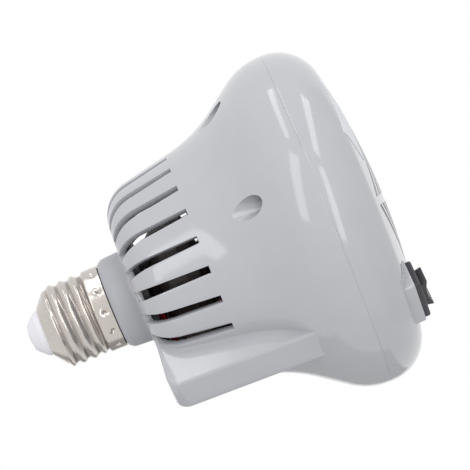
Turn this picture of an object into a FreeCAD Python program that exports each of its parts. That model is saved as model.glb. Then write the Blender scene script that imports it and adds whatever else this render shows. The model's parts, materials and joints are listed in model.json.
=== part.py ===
import FreeCAD, Part
import math
import os

import Sketcher

Vector = FreeCAD.Vector
Rotation = FreeCAD.Rotation
Placement = FreeCAD.Placement

# Screw-in fan heater for a brooder. +Z runs up the screw cap to the centre contact, whose tip is
# the origin, and the heater hangs below it. Every "depth" is a distance down from that tip.
SIZES = {
    # centre contact and insulating nose
    "contact_radius": 3.2,
    "contact_flat_radius": 1.8,
    "contact_proud": 0.4,
    "contact_disc": 0.5,
    "contact_stem_radius": 1.0,
    "nose_end_radius": 4.3,
    "nose_end_depth": 1.0,
    "nose_end_slope": 0.3,
    "nose_edge_round": 0.3,
    "nose_shoulder_round": 0.8,
    "nose_skirt_inset": 0.75,
    "nose_skirt_rise": 1.6,
    "nose_skirt_round": 2.5,
    "nose_flange": 0.9,
    "nose_tail": 0.6,
    # screw shell
    "lip_radius": 7.85,
    "lip_land": 0.2,
    "lip_depth": 5.2,
    "cone_drop": 3.4,
    "cone_round": 2.0,
    "thread_root_radius": 12.1,
    "thread_height": 0.95,
    "thread_pitch": 3.629,
    "thread_turns": 3.6,
    "thread_half_width": 1.05,
    "thread_crest_round": 0.45,
    "thread_run": 14.5,
    "thread_end_land": 0.7,
    "skirt_slope": 0.5,
    "skirt_length": 4.1,
    "shell_wall": 0.5,
    "press_gap": 0.06,
    "dimple_count": 12,
    "dimple_depth": 0.35,
    "dimple_ball": 1.5,
    "dimple_rise": 2.4,
    # rear housing
    "wall": 2.2,
    "neck_wall": 1.94,
    "collar_lip": 0.05,
    "collar_gap": 0.1,
    "collar_step": 1.6,
    "collar_top_inset": 0.4,
    "collar_slope": 1.5,
    "collar_round": 2.5,
    "collar_height": 8.1,
    "shoulder_radius": 31.6,
    "shoulder_round": 11.4,
    "waist_radius": 36.5,
    "drum_length": 24.3,
    "flare_step": 2.1,
    "flare_length": 10.0,
    "flare_share": 0.923,
    "rim_radius": 53.6,
    "bell_length": 20.6,
    "rim_round": 21.0,
    "rim_band": 7.1,
    # cooling slots of the rear housing
    "slot_step": 15.0,
    "slot_rear_width": 3.2,
    "slot_front_width": 1.9,
    "slot_inset": 9.1,
    "slot_end_rise": 0.3,
    # wire pod on the side of the rear housing
    "pod_width": 11.6,
    "pod_wall": 1.8,
    "pod_proud": 8.8,
    "pod_lean": 1.6,
    "pod_setback": 0.8,
    "pod_front_rise": 7.8,
    "pod_corner_round": 2.8,
    "pod_edge_round": 0.9,
    # case screws, their wells and their posts
    "well_inset": 9.9,
    "well_angle": 61.5,
    "well_radius": 3.2,
    "well_wall": 1.5,
    "well_floor_rise": 9.4,
    "well_floor_wall": 3.5,
    "post_step": 0.5,
    "case_screw_radius": 1.5,
    "case_screw_head_radius": 2.9,
    "case_screw_head": 2.0,
    "case_screw_length": 12.0,
    "screw_gap": 0.05,
    "drive_width": 0.7,
    "drive_depth": 0.8,
    # front cover
    "cover_band": 12.3,
    "cover_land": 0.66,
    "dome_flat_radius": 18.0,
    "dome_flat_share": 0.92,
    "dome_rise": 6.6,
    "lip_wall": 1.6,
    "lip_height": 3.0,
    "lip_gap": 0.4,
    # grille of the front cover
    "grille_margin": 1.0,
    "grille_pitch": 4.8,
    "grille_slot": 2.6,
    "grille_rib": 2.6,
    # rocker switch and its pedestal
    "switch_inset": 12.8,
    "pedestal_drop": 3.0,
    "pedestal_end_step": 0.9,
    "pedestal_side_step": 0.65,
    "pedestal_root": 5.0,
    "pedestal_corner_round": 1.2,
    "pedestal_edge_round": 0.4,
    "bezel_thickness": 1.8,
    "bezel_end_flange": 1.0,
    "bezel_side_flange": 0.65,
    "bezel_corner_round": 0.8,
    "bezel_edge_round": 0.6,
    "switch_end_wall": 0.8,
    "switch_side_wall": 1.05,
    "switch_body_depth": 11.0,
    "cutout_gap": 0.2,
    "rocker_length": 10.6,
    "rocker_width": 6.6,
    "rocker_end_gap": 0.4,
    "rocker_side_gap": 0.25,
    "rocker_proud": 2.2,
    "rocker_dish": 1.0,
    "rocker_sink": 4.2,
    "rocker_swing_room": 1.6,
    "rocker_waist_inset": 1.0,
    "rocker_waist_sink": 1.2,
    "rocker_foot_inset": 2.6,
    "pivot_radius": 0.9,
    "pivot_gap": 0.06,
    "pivot_end_wall": 0.3,
    "pivot_end_gap": 0.1,
    "terminal_width": 2.8,
    "terminal_thickness": 0.8,
    "terminal_length": 6.5,
    "terminal_root": 1.5,
    "terminal_pitch": 4.6,
    # blank label
    "label_length": 24.5,
    "label_width": 14.6,
    "label_inset": 24.2,
    "label_thickness": 0.15,
    "label_corner_round": 1.0,
    # motor, its bracket and the fan
    "bracket_thickness": 2.0,
    "bracket_notch": 6.0,
    "bracket_notch_length": 30.0,
    "pillar_radius": 2.4,
    "pillar_height": 3.0,
    "pillar_inset": 3.0,
    "peg_radius": 1.4,
    "peg_head_radius": 2.2,
    "peg_head": 1.2,
    "peg_inset": 4.1,
    "motor_screw_radius": 1.0,
    "motor_screw_head_radius": 1.8,
    "motor_screw_head": 1.2,
    "motor_screw_bite": 2.0,
    "motor_radius": 16.0,
    "motor_length": 13.0,
    "motor_round": 3.0,
    "motor_back": 2.0,
    "bearing_radius": 4.0,
    "bearing_height": 1.2,
    "shaft_radius": 1.0,
    "shaft_gap": 0.05,
    "shaft_end_gap": 0.3,
    "shaft_tail": 1.1,
    "fan_gap": 1.2,
    "hub_radius": 8.5,
    "hub_height": 8.0,
    "blade_count": 7,
    "fan_tip_gap": 5.3,
    "blade_chord": 10.0,
    "blade_thickness": 1.2,
    "blade_tilt": 32.0,
    # heater
    "heater_inset": 28.6,
    "heater_setback": 12.3,
    "frame_wall": 2.0,
    "frame_height": 16.0,
    "ear_step": 3.8,
    "ear_radius": 3.4,
    "ear_thickness": 2.4,
    "ledge_width": 3.0,
    "ledge_height": 1.5,
    "boss_radius": 2.8,
    "boss_hole_depth": 6.0,
    "heater_screw_radius": 1.2,
    "heater_screw_head_radius": 2.4,
    "heater_screw_head": 1.5,
    "heater_screw_length": 7.0,
    "fin_height": 12.0,
    "bar_width": 3.6,
    "fin_slits": 17,
    "fin_thickness": 0.9,
    "fin_rail": 1.0,
    "riser_thickness": 0.8,
    "riser_inset": 2.0,
    "riser_width": 4.8,
    "riser_height": 9.0,
    # thermal cut-out and fuse
    "cutout_length": 15.0,
    "cutout_width": 6.4,
    "cutout_height": 3.6,
    "cutout_shift": 6.0,
    "fuse_radius": 1.9,
    "fuse_length": 11.0,
    "fuse_start": 6.0,
    # circuit board
    "board_length": 32.0,
    "board_height": 18.0,
    "board_thickness": 1.6,
    "board_rise": 6.0,
    "capacitor_length": 13.0,
    "capacitor_height": 9.0,
    "capacitor_thickness": 5.5,
    "capacitor_edge": 3.0,
    "capacitor_rise": 4.0,
    "rectifier_side": 5.0,
    "rectifier_thickness": 2.5,
    "rectifier_edge": 10.0,
    "rectifier_rise": 5.0,
    # wires
    "wire_radius": 0.9,
    "wire_hole_gap": 0.1,
    "shell_wire_depth": 14.0,
}

# Where the thread and the ring of dimples start, in degrees about the axis
THREAD_START_ANGLE = -347.7
DIMPLE_START_ANGLE = -45.5
# How far a cutting or covering block reaches past what it cuts
OVERSHOOT = 1.0


class Size:
    """A number of the sheet, or a sum of such numbers, with the expression that gives it."""

    def __init__(self, number, text):
        self.number = float(number)
        self.text = text

    def __add__(self, other):
        other = as_size(other)
        return Size(self.number + other.number, f"({self.text} + {other.text})")

    def __sub__(self, other):
        other = as_size(other)
        return Size(self.number - other.number, f"({self.text} - {other.text})")

    def __mul__(self, other):
        other = as_size(other)
        return Size(self.number * other.number, f"({self.text} * {other.text})")

    def __truediv__(self, other):
        other = as_size(other)
        return Size(self.number / other.number, f"({self.text} / {other.text})")

    def __neg__(self):
        return Size(-self.number, f"(0 - {self.text})")


def as_size(value):
    return value if isinstance(value, Size) else Size(value, f"{float(value):.6f}")


doc = FreeCAD.newDocument("brooder_heater")
sheet = doc.addObject("Spreadsheet::Sheet", "Sizes")
for row, (alias, number) in enumerate(SIZES.items(), start=1):
    sheet.set(f"A{row}", alias)
    sheet.set(f"B{row}", str(number))
    sheet.setAlias(f"B{row}", alias)
doc.recompute()


class Sheet:
    """Gives each aliased cell as a Size."""

    def __getattr__(self, alias):
        return Size(getattr(sheet, alias), f"Sizes.{alias}")


S = Sheet()


def square_root(size):
    return Size(math.sqrt(size.number), f"sqrt({size.text})")


def half_turn(slope_in, slope_out):
    """The tangent of half the turn between two slopes."""
    turn = (slope_out - slope_in) / (slope_in * slope_out + 1)
    return (square_root(turn * turn + 1) - 1) / turn


# Radii and depths of the outline, each from the one before it
cone_depth = S.lip_depth + S.cone_drop
nose_foot_depth = cone_depth + S.nose_tail
skirt_depth = cone_depth + S.thread_run
thread_start_depth = skirt_depth - S.thread_end_land
thread_crest_radius = S.thread_root_radius + S.thread_height
skirt_radius = thread_crest_radius
shell_end_depth = skirt_depth + S.skirt_length
dimple_at_depth = shell_end_depth - S.dimple_rise
spigot_radius = S.thread_root_radius - S.shell_wall - S.press_gap
neck_bore_radius = spigot_radius - S.neck_wall
collar_start_depth = shell_end_depth + S.collar_gap
collar_foot_radius = skirt_radius + S.collar_lip
collar_radius = collar_foot_radius + S.collar_step
rear_face_depth = collar_start_depth + S.collar_height
rear_inner_depth = rear_face_depth + S.wall
slot_reach_radius = S.shoulder_radius - S.slot_inset
waist_depth = rear_face_depth + S.drum_length
slot_end_depth = waist_depth - S.slot_end_rise
flare_depth = waist_depth + S.flare_length
flare_radius = S.waist_radius + S.flare_step
rim_corner_depth = flare_depth + S.bell_length
parting_depth = rim_corner_depth + S.rim_band
dome_corner_depth = parting_depth + S.cover_band
dome_depth = dome_corner_depth + S.dome_rise

# The roundings that are as wide as their shorter side allows
flare_slope = S.flare_step / S.flare_length
bell_slope = (S.rim_radius - flare_radius) / S.bell_length
flare_side = square_root(S.flare_step * S.flare_step + S.flare_length * S.flare_length)
flare_round = flare_side * S.flare_share / half_turn(flare_slope, bell_slope)
dome_slope = S.dome_rise / (S.rim_radius - S.dome_flat_radius)
dome_bend = (square_root(dome_slope * dome_slope + 1) - 1) / dome_slope
dome_round = S.dome_flat_radius * S.dome_flat_share / dome_bend
cover_round = (S.cover_band - S.cover_land) * (dome_bend + 1) / (as_size(1) - dome_bend)

# Places of the pieces, from what they seat on
pod_rear_reach = S.waist_radius + S.pod_proud
pod_front_reach = pod_rear_reach + S.pod_lean
pod_rear_depth = rear_face_depth + S.pod_setback
pod_front_depth = rim_corner_depth - S.pod_front_rise
well_ring_radius = S.rim_radius - S.well_inset
well_floor_depth = parting_depth - S.well_floor_rise
post_top_depth = well_floor_depth + S.well_floor_wall
heater_half_side = S.rim_radius - S.heater_inset
frame_foot_depth = dome_depth - S.heater_setback
ear_reach = heater_half_side + S.frame_wall + S.ear_step
grille_half_side = heater_half_side + S.grille_margin
label_inner_reach = S.rim_radius - S.label_inset
switch_body_length = S.rocker_length + (S.rocker_end_gap + S.switch_end_wall) * 2
switch_body_width = S.rocker_width + (S.rocker_side_gap + S.switch_side_wall) * 2
bezel_length = switch_body_length + S.bezel_end_flange * 2
bezel_width = switch_body_width + S.bezel_side_flange * 2
pedestal_length = bezel_length + S.pedestal_end_step * 2
pedestal_width = bezel_width + S.pedestal_side_step * 2
pedestal_depth = dome_depth - S.pedestal_drop
bezel_foot = pedestal_depth + S.bezel_thickness
switch_y = S.switch_inset - S.rim_radius
bracket_radius = S.shoulder_radius - S.shoulder_round
peg_reach = bracket_radius - S.peg_inset
pillar_reach = S.motor_radius - S.pillar_inset
blade_reach = S.waist_radius - S.wall - S.fan_tip_gap


def bind(item, **properties):
    """Bind properties to expressions; a double underscore stands for a dot."""
    for name, value in properties.items():
        item.setExpression(name.replace("__", "."), as_size(value).text)


def place(item, x=0.0, y=0.0, z=0.0, turn=None):
    """Place an object, with its base point bound to the sheet."""
    if turn is not None:
        item.Placement = Placement(Vector(0, 0, 0), turn)
    bind(item, Placement__Base__x=x, Placement__Base__y=y, Placement__Base__z=z)
    return item


def new(kind, name):
    return doc.addObject(kind, name)


def box(name, length, width, height, x, y, z, turn=None):
    """A block whose low corner is at x, y, z."""
    item = new("Part::Box", name)
    bind(item, Length=length, Width=width, Height=height)
    return place(item, x, y, z, turn)


def centred_box(name, length, width, height, x, y, z):
    """A block centred on x, y with its foot at z."""
    length, width, x, y = as_size(length), as_size(width), as_size(x), as_size(y)
    return box(name, length, width, height, x - length / 2, y - width / 2, z)


def rod(name, radius, height, x, y, z, turn=None):
    """A cylinder standing on x, y, z."""
    item = new("Part::Cylinder", name)
    bind(item, Radius=radius, Height=height)
    return place(item, x, y, z, turn)


def fuse(name, *items):
    if len(items) == 1:
        return items[0]
    result = new("Part::MultiFuse", name)
    result.Shapes = list(items)
    return result


def cut(name, base, *tools):
    result = new("Part::Cut", name)
    result.Base = base
    result.Tool = fuse(f"{name}_tools", *tools)
    return result


def common(name, first, second):
    result = new("Part::MultiCommon", name)
    result.Shapes = [first, second]
    return result


def corner_arc(before, corner, after, radius):
    """The arc that rounds a corner: its centre, its two ends and whether it turns left."""
    into = (corner - before).normalize()
    out = (after - corner).normalize()
    turn = math.atan2(into.x * out.y - into.y * out.x, into.dot(out))
    back = radius * math.tan(abs(turn) / 2)
    start, end = corner - into * back, corner + out * back
    side = 1 if turn > 0 else -1
    centre = start + Vector(-into.y, into.x, 0) * (radius * side)
    return centre, start, end, turn > 0


def add_outline(sketch, outline):
    """Draw a closed outline; a third value in a point rounds that corner."""
    points = [Vector(as_size(p[0]).number, as_size(p[1]).number, 0) for p in outline]
    count = len(points)
    rounds = []
    for i, point in enumerate(outline):
        if len(point) > 2:
            radius = as_size(point[2]).number
            rounds.append(corner_arc(points[i - 1], points[i], points[(i + 1) % count], radius))
        else:
            rounds.append(None)
    lines = []
    for i in range(count):
        j = (i + 1) % count
        start = rounds[i][2] if rounds[i] else points[i]
        end = rounds[j][1] if rounds[j] else points[j]
        lines.append(sketch.addGeometry(Part.LineSegment(start, end), False))
    for i, point in enumerate(outline):
        line_in, line_out = lines[i - 1], lines[i]
        if rounds[i]:
            held, spot = add_round(sketch, rounds[i], line_in, line_out, points[i], point[2]), 1
        else:
            sketch.addConstraint(Sketcher.Constraint("Coincident", line_in, 2, line_out, 1))
            held, spot = line_out, 1
        pin_point(sketch, held, spot, point[0], point[1])


def add_round(sketch, rounding, line_in, line_out, corner, radius):
    """Add the arc of a rounded corner, and return the point that marks the corner."""
    centre, start, end, left = rounding
    first, last = (start, end) if left else (end, start)
    angles = [math.atan2(p.y - centre.y, p.x - centre.x) for p in (first, last)]
    circle = Part.Circle(centre, Vector(0, 0, 1), (start - centre).Length)
    arc = sketch.addGeometry(Part.ArcOfCircle(circle, *angles), False)
    mark = sketch.addGeometry(Part.Point(corner), True)
    at_in, at_out = (1, 2) if left else (2, 1)
    sketch.addConstraint(Sketcher.Constraint("Tangent", line_in, 2, arc, at_in))
    sketch.addConstraint(Sketcher.Constraint("Tangent", line_out, 1, arc, at_out))
    sketch.addConstraint(Sketcher.Constraint("PointOnObject", mark, 1, line_in))
    sketch.addConstraint(Sketcher.Constraint("PointOnObject", mark, 1, line_out))
    size = as_size(radius)
    index = sketch.addConstraint(Sketcher.Constraint("Radius", arc, size.number))
    sketch.setExpression(f"Constraints[{index}]", size.text)
    return mark


def pin_point(sketch, geometry, spot, across, up):
    """Hold a sketch point at its two coordinates, each bound to the sheet."""
    for kind, axis, value in (("DistanceX", -2, across), ("DistanceY", -1, up)):
        size = as_size(value)
        if size.number == 0:
            sketch.addConstraint(Sketcher.Constraint("PointOnObject", geometry, spot, axis))
        else:
            index = sketch.addConstraint(Sketcher.Constraint(kind, geometry, spot, size.number))
            sketch.setExpression(f"Constraints[{index}]", size.text)


def plane_of(body, role):
    return next(item for item in body.Origin.OriginFeatures if item.Role == role)


def body_sketch(body, role, outline):
    sketch = body.newObject("Sketcher::SketchObject", f"{body.Name}_outline")
    sketch.AttachmentSupport = (plane_of(body, role), [""])
    sketch.MapMode = "FlatFace"
    add_outline(sketch, outline)
    return sketch


def turned(name, outline):
    """A body turned about the lamp's axis from an outline of (radius, height) points."""
    body = new("PartDesign::Body", name)
    sketch = body_sketch(body, "XZ_Plane", outline)
    revolution = body.newObject("PartDesign::Revolution", f"{name}_turning")
    revolution.Profile = sketch
    revolution.ReferenceAxis = (sketch, ["V_Axis"])
    revolution.Angle = 360
    return body


def padded(name, role, outline, thickness, both_ways=False):
    """A body padded from an outline on one of its own origin planes."""
    body = new("PartDesign::Body", name)
    sketch = body_sketch(body, role, outline)
    pad = body.newObject("PartDesign::Pad", f"{name}_pad")
    pad.Profile = sketch
    pad.Midplane = both_ways
    bind(pad, Length=thickness)
    return body


def rounded_edges(name, base, picks):
    """Round the edges that each test picks, each group with its own radius."""
    doc.recompute()
    edges = []
    for test, size in picks:
        for number, edge in enumerate(base.Shape.Edges, start=1):
            if test(edge.BoundBox):
                edges.append((number, as_size(size).number, as_size(size).number))
    result = new("Part::Fillet", name)
    result.Base = base
    result.Edges = edges
    return result


def around(angle):
    return Rotation(Vector(0, 0, 1), angle)


def on_ring(radius, angle):
    """The x and y of a point on a ring, as bound sizes."""
    radius = as_size(radius)
    return radius * math.cos(math.radians(angle)), radius * math.sin(math.radians(angle))


parts = []


def keep(name, item):
    """Mark an object as a finished piece."""
    item.Label = name
    parts.append((name, item))
    return item


# Centre contact: a domed rivet whose stem runs down through the nose
stem_foot = -nose_foot_depth
keep("centre_contact", turned("contact", [
    (0, 0), (S.contact_flat_radius, 0), (S.contact_radius, -S.contact_proud),
    (S.contact_radius, -S.contact_proud - S.contact_disc),
    (S.contact_stem_radius, -S.contact_proud - S.contact_disc),
    (S.contact_stem_radius, stem_foot), (0, stem_foot),
]))

# Insulating nose: a moulded cone behind the lip of the screw shell
shell_cone_inner = S.thread_root_radius - S.shell_wall
nose_waist = S.lip_radius - S.shell_wall - S.press_gap
nose_ledge = S.lip_depth + S.shell_wall + S.press_gap
keep("insulator_nose", turned("nose", [
    (S.contact_stem_radius + S.press_gap, -S.contact_proud - S.contact_disc - S.press_gap),
    (S.contact_radius + S.press_gap, -S.contact_proud - S.contact_disc - S.press_gap),
    (S.contact_radius + S.press_gap, -S.contact_proud),
    (S.nose_end_radius - S.contact_proud, -S.contact_proud, S.nose_edge_round),
    (S.nose_end_radius + S.nose_end_slope, -S.nose_end_depth, S.nose_shoulder_round),
    (S.lip_radius - S.nose_skirt_inset, -S.lip_depth + S.nose_skirt_rise, S.nose_skirt_round),
    (nose_waist, -S.lip_depth),
    (nose_waist, -nose_ledge),
    (nose_waist + S.nose_flange, -nose_ledge),
    (shell_cone_inner - S.shell_wall, -cone_depth),
    (shell_cone_inner - S.shell_wall, -nose_foot_depth),
    (S.contact_stem_radius + S.press_gap, -nose_foot_depth),
]))

# Screw shell: thin nickel-plated sheet, with a rolled thread and a ring of punched dimples
shell = turned("shell_sheet", [
    (S.lip_radius - S.shell_wall, -S.lip_depth),
    (S.lip_radius + S.lip_land, -S.lip_depth),
    (S.thread_root_radius, -cone_depth, S.cone_round),
    (S.thread_root_radius, -skirt_depth, 0.4),
    (skirt_radius, -skirt_depth - S.skirt_slope),
    (skirt_radius, -shell_end_depth),
    (skirt_radius - S.shell_wall, -shell_end_depth),
    (skirt_radius - S.shell_wall, -skirt_depth - S.skirt_slope - 0.3),
    (shell_cone_inner, -skirt_depth - 0.3),
    (shell_cone_inner, -cone_depth - S.lip_land, S.cone_round - S.shell_wall),
    (S.lip_radius + S.lip_land + 0.1, -S.lip_depth - S.shell_wall),
    (S.lip_radius - S.shell_wall, -S.lip_depth - S.shell_wall),
])
thread_turn = around(THREAD_START_ANGLE)
helix = new("Part::Helix", "thread_line")
bind(helix, Pitch=S.thread_pitch, Height=S.thread_pitch * S.thread_turns,
     Radius=S.thread_root_radius)
crest = new("Sketcher::SketchObject", "thread_crest")
crest.Placement = Placement(Vector(0, 0, 0), Rotation(Vector(1, 0, 0), 90))
add_outline(crest, [
    (S.thread_root_radius - S.shell_wall / 2, S.thread_half_width),
    (S.thread_root_radius - S.shell_wall / 2, -S.thread_half_width),
    (thread_crest_radius, -S.thread_half_width * 0.45, S.thread_crest_round),
    (thread_crest_radius, S.thread_half_width * 0.45, S.thread_crest_round),
])
ridge = new("Part::Sweep", "thread_ridge")
ridge.Sections = [crest]
ridge.Spine = helix
ridge.Solid = True
ridge.Frenet = True
place(ridge, 0, 0, -thread_start_depth, thread_turn)
dimples = []
for number in range(int(S.dimple_count.number)):
    angle = DIMPLE_START_ANGLE + 360.0 * number / S.dimple_count.number
    ball = new("Part::Sphere", f"dimple_{number}")
    bind(ball, Radius=S.dimple_ball)
    x, y = on_ring(skirt_radius + S.dimple_ball - S.dimple_depth, angle)
    dimples.append(place(ball, x, y, -dimple_at_depth))
keep("screw_shell", cut("dimpled_shell", fuse("threaded_shell", shell, ridge), *dimples))

# Rear housing: neck spigot, collar, slotted drum and bell, moulded with its pod and screw wells
skirt_spigot_radius = skirt_radius - S.shell_wall - S.press_gap
spigot_step = skirt_depth + S.skirt_slope + 0.3 + S.press_gap
housing_solid = turned("housing_solid", [
    (0, -nose_foot_depth),
    (spigot_radius, -nose_foot_depth),
    (spigot_radius, -spigot_step),
    (skirt_spigot_radius, -spigot_step),
    (skirt_spigot_radius, -collar_start_depth),
    (collar_foot_radius, -collar_start_depth),
    (collar_radius - S.collar_top_inset, -collar_start_depth - S.collar_slope, S.collar_round),
    (collar_radius, -rear_face_depth),
    (S.shoulder_radius, -rear_face_depth, S.shoulder_round),
    (S.waist_radius, -waist_depth),
    (flare_radius, -flare_depth, flare_round),
    (S.rim_radius, -rim_corner_depth, S.rim_round),
    (S.rim_radius, -parting_depth),
    (0, -parting_depth),
])
cone_shift = S.wall * 0.33
housing_hollow = turned("housing_hollow", [
    (0, -nose_foot_depth + 1),
    (neck_bore_radius, -nose_foot_depth + 1),
    (neck_bore_radius, -rear_inner_depth),
    (S.shoulder_radius - S.wall, -rear_inner_depth, S.shoulder_round - S.wall),
    (S.waist_radius - S.wall, -waist_depth),
    (flare_radius - S.wall, -flare_depth - cone_shift, flare_round),
    (S.rim_radius - S.wall, -rim_corner_depth - cone_shift, S.rim_round - S.wall),
    (S.rim_radius - S.wall, -parting_depth - 1),
    (0, -parting_depth - 1),
])
pod_outline = [
    (-pod_rear_reach, -pod_rear_depth, S.pod_corner_round),
    (-pod_front_reach, -pod_front_depth),
    (-neck_bore_radius * 2, -pod_front_depth),
    (-neck_bore_radius * 2, -pod_rear_depth),
]
pod_block = padded("pod_block", "YZ_Plane", pod_outline, S.pod_width, both_ways=True)
pod_channel = padded("pod_channel", "YZ_Plane", [
    (-pod_rear_reach + S.pod_wall, -pod_rear_depth - S.pod_wall,
     S.pod_corner_round - S.pod_wall + 0.2),
    (-pod_front_reach + S.pod_wall, -pod_front_depth - 1),
    (-neck_bore_radius * 2 - OVERSHOOT, -pod_front_depth - 1),
    (-neck_bore_radius * 2 - OVERSHOOT, -pod_rear_depth - S.pod_wall),
], S.pod_width - S.pod_wall * 2, both_ways=True)
half_pod = S.pod_width.number / 2


def long_pod_edge(extent):
    """True for the outer edges of the pod's two cheeks."""
    flat = extent.XLength < 1e-3 and abs(abs(extent.XMin) - half_pod) < 1e-3
    return flat and extent.YMin < -pod_rear_reach.number + 4 and extent.YMax < -30


pod = rounded_edges("pod", pod_block, [(long_pod_edge, S.pod_edge_round)])
well_angles = [-90 + sign * angle for angle in (S.well_angle.number, 180 - S.well_angle.number)
               for sign in (-1, 1)]


def ring_rods(name, radius, height, top_depth, clearance=0):
    """Cylinders of one height on the ring of the case screws, with their tops at one depth."""
    rods = []
    for number, angle in enumerate(well_angles, start=1):
        x, y = on_ring(well_ring_radius, angle)
        foot = -as_size(top_depth) - height
        rods.append(rod(f"{name}_{number}", as_size(radius) + clearance, height, x, y, foot))
    return rods


wells = common("wells", housing_solid, fuse("well_tubes", *ring_rods(
    "well_tube", S.well_radius + S.well_wall, post_top_depth - waist_depth, waist_depth)))
well_bores = ring_rods("well_bore", S.well_radius, well_floor_depth - waist_depth,
                       waist_depth)
shank_holes = ring_rods("shank_hole", S.case_screw_radius,
                        post_top_depth - well_floor_depth + 2,
                        well_floor_depth - 1, S.screw_gap)
slot_turn = Rotation(Vector(0, -1, 0), Vector(0, 0, -1), Vector(1, 0, 0), "ZXY")
slots = []
for number in range(1, int(360 / S.slot_step.number)):
    slot = new("Part::Wedge", f"slot_{number}")
    bind(slot, Xmin=-S.slot_rear_width / 2, Xmax=S.slot_rear_width / 2,
         X2min=-S.slot_front_width / 2, X2max=S.slot_front_width / 2,
         Ymin=rear_face_depth - 1, Ymax=slot_end_depth,
         Zmin=slot_reach_radius, Z2min=slot_reach_radius,
         Zmax=S.waist_radius + 5, Z2max=S.waist_radius + 5)
    slot.Placement = Placement(Vector(0, 0, 0),
                               around(-90 + number * S.slot_step.number) * slot_turn)
    slots.append(slot)
shell_with_pod = cut("hollow_housing", fuse("housing_and_pod", housing_solid, pod),
                     housing_hollow, pod_channel)
plate_foot = rear_inner_depth + S.bracket_thickness
peg_angles = (45, 135)
pegs = []
for number, angle in enumerate(peg_angles, start=1):
    x, y = on_ring(peg_reach, angle)
    pegs.append(rod(f"peg_{number}", S.peg_radius, S.bracket_thickness + 1, x, y, -plate_foot))
    pegs.append(rod(f"peg_head_{number}", S.peg_head_radius, S.peg_head, x, y,
                    -plate_foot - S.peg_head))
shell_wire_hole = rod("shell_wire_hole", S.wire_radius + S.wire_hole_gap, skirt_radius, 0, 0,
                      -S.shell_wire_depth, Rotation(Vector(1, 0, 0), -90))
keep("rear_housing", cut("finished_housing", fuse("housing_and_wells", shell_with_pod, wells,
                                                  *pegs), shell_wire_hole,
                         *well_bores, *shank_holes, *slots))

# Front cover: dome with a square grille, a pedestal for the switch and four screw posts
cover_shift = S.wall * 0.83
lip_radius = S.rim_radius - S.wall - S.lip_gap
lip_inner = lip_radius - S.lip_wall
dome_inner_depth = dome_depth - S.wall
cover_shell = turned("cover_shell", [
    (lip_inner, -parting_depth + S.lip_height),
    (lip_radius, -parting_depth + S.lip_height),
    (lip_radius, -parting_depth),
    (S.rim_radius, -parting_depth),
    (S.rim_radius, -dome_corner_depth, cover_round),
    (S.dome_flat_radius, -dome_depth, dome_round),
    (0, -dome_depth),
    (0, -dome_inner_depth),
    (S.dome_flat_radius, -dome_inner_depth, dome_round),
    (S.rim_radius - S.wall, -dome_corner_depth + cover_shift, cover_round - S.wall * 2),
    (S.rim_radius - S.wall, -parting_depth - 1.6),
    (lip_inner, -parting_depth),
])
cover_solid = turned("cover_solid", [
    (0, -parting_depth),
    (S.rim_radius, -parting_depth),
    (S.rim_radius, -dome_corner_depth, cover_round),
    (S.dome_flat_radius, -dome_depth, dome_round),
    (0, -dome_depth),
])
posts = common("posts", cover_solid, fuse("post_rods", *ring_rods(
    "post", S.well_radius + S.post_step, dome_depth - parting_depth, parting_depth)))
post_tops = ring_rods("post_top", S.well_radius + S.post_step, parting_depth - post_top_depth,
                      post_top_depth)
post_holes = ring_rods("post_hole", S.case_screw_radius,
                       S.case_screw_length + 1, post_top_depth - 1, S.screw_gap)
pedestal = centred_box("pedestal_block", pedestal_length, pedestal_width, S.pedestal_root,
                       0, switch_y, -pedestal_depth)
pedestal = rounded_edges("pedestal", pedestal, [
    (lambda extent: extent.ZLength > 1, S.pedestal_corner_round),
    (lambda extent: extent.ZMax < -pedestal_depth.number + 0.1, S.pedestal_edge_round),
])
switch_hole = centred_box("switch_hole", switch_body_length + S.cutout_gap,
                          switch_body_width + S.cutout_gap, 20,
                          0, switch_y, -dome_depth)

# Grille slots: square rings cut by four diagonal ribs
rings = []
ring_count = math.ceil(((grille_half_side - S.grille_slot) / S.grille_pitch).number)
for number in range(ring_count):
    half = grille_half_side - S.grille_pitch * number
    outer = centred_box(f"ring_outer_{number}", half * 2 + S.grille_slot,
                        half * 2 + S.grille_slot, 12, 0, 0, -dome_depth - 1)
    inner = centred_box(f"ring_inner_{number}", half * 2 - S.grille_slot,
                        half * 2 - S.grille_slot, 14, 0, 0, -dome_depth - 2)
    rings.append(cut(f"grille_ring_{number}", outer, inner))
ribs = []
for number, angle in enumerate((45, 135)):
    rib = new("Part::Box", f"grille_rib_{number}")
    bind(rib, Length=S.rim_radius * 2, Width=S.grille_rib, Height=16)
    rib.Placement = Placement(Vector(0, 0, -dome_depth.number - 3), around(angle)).multiply(
        Placement(Vector(-S.rim_radius.number, -S.grille_rib.number / 2, 0), Rotation()))
    ribs.append(rib)
grille = cut("grille_slots", fuse("grille_rings", *rings), *ribs)

# Short bosses on the cover's inside carry the ears of the heater frame
ear_spots = [(1, 0), (-1, 0), (0, 1)]
boss_foot = dome_depth - S.wall / 2
bosses = [rod(f"heater_boss_{n}", S.boss_radius, boss_foot - frame_foot_depth,
              ear_reach * i, ear_reach * j, -boss_foot)
          for n, (i, j) in enumerate(ear_spots, start=1)]
boss_body = common("heater_bosses", cover_solid, fuse("heater_boss_rods", *bosses))
boss_holes = [rod(f"boss_hole_{n}", S.heater_screw_radius + S.screw_gap, S.boss_hole_depth + 0.5,
                  ear_reach * i, ear_reach * j, -frame_foot_depth - S.boss_hole_depth)
              for n, (i, j) in enumerate(ear_spots, start=1)]
keep("front_cover", cut("finished_cover", fuse("cover_with_bosses", cover_shell, posts, pedestal,
                                               boss_body, *post_tops),
                        switch_hole, grille, *post_holes, *boss_holes))

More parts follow.
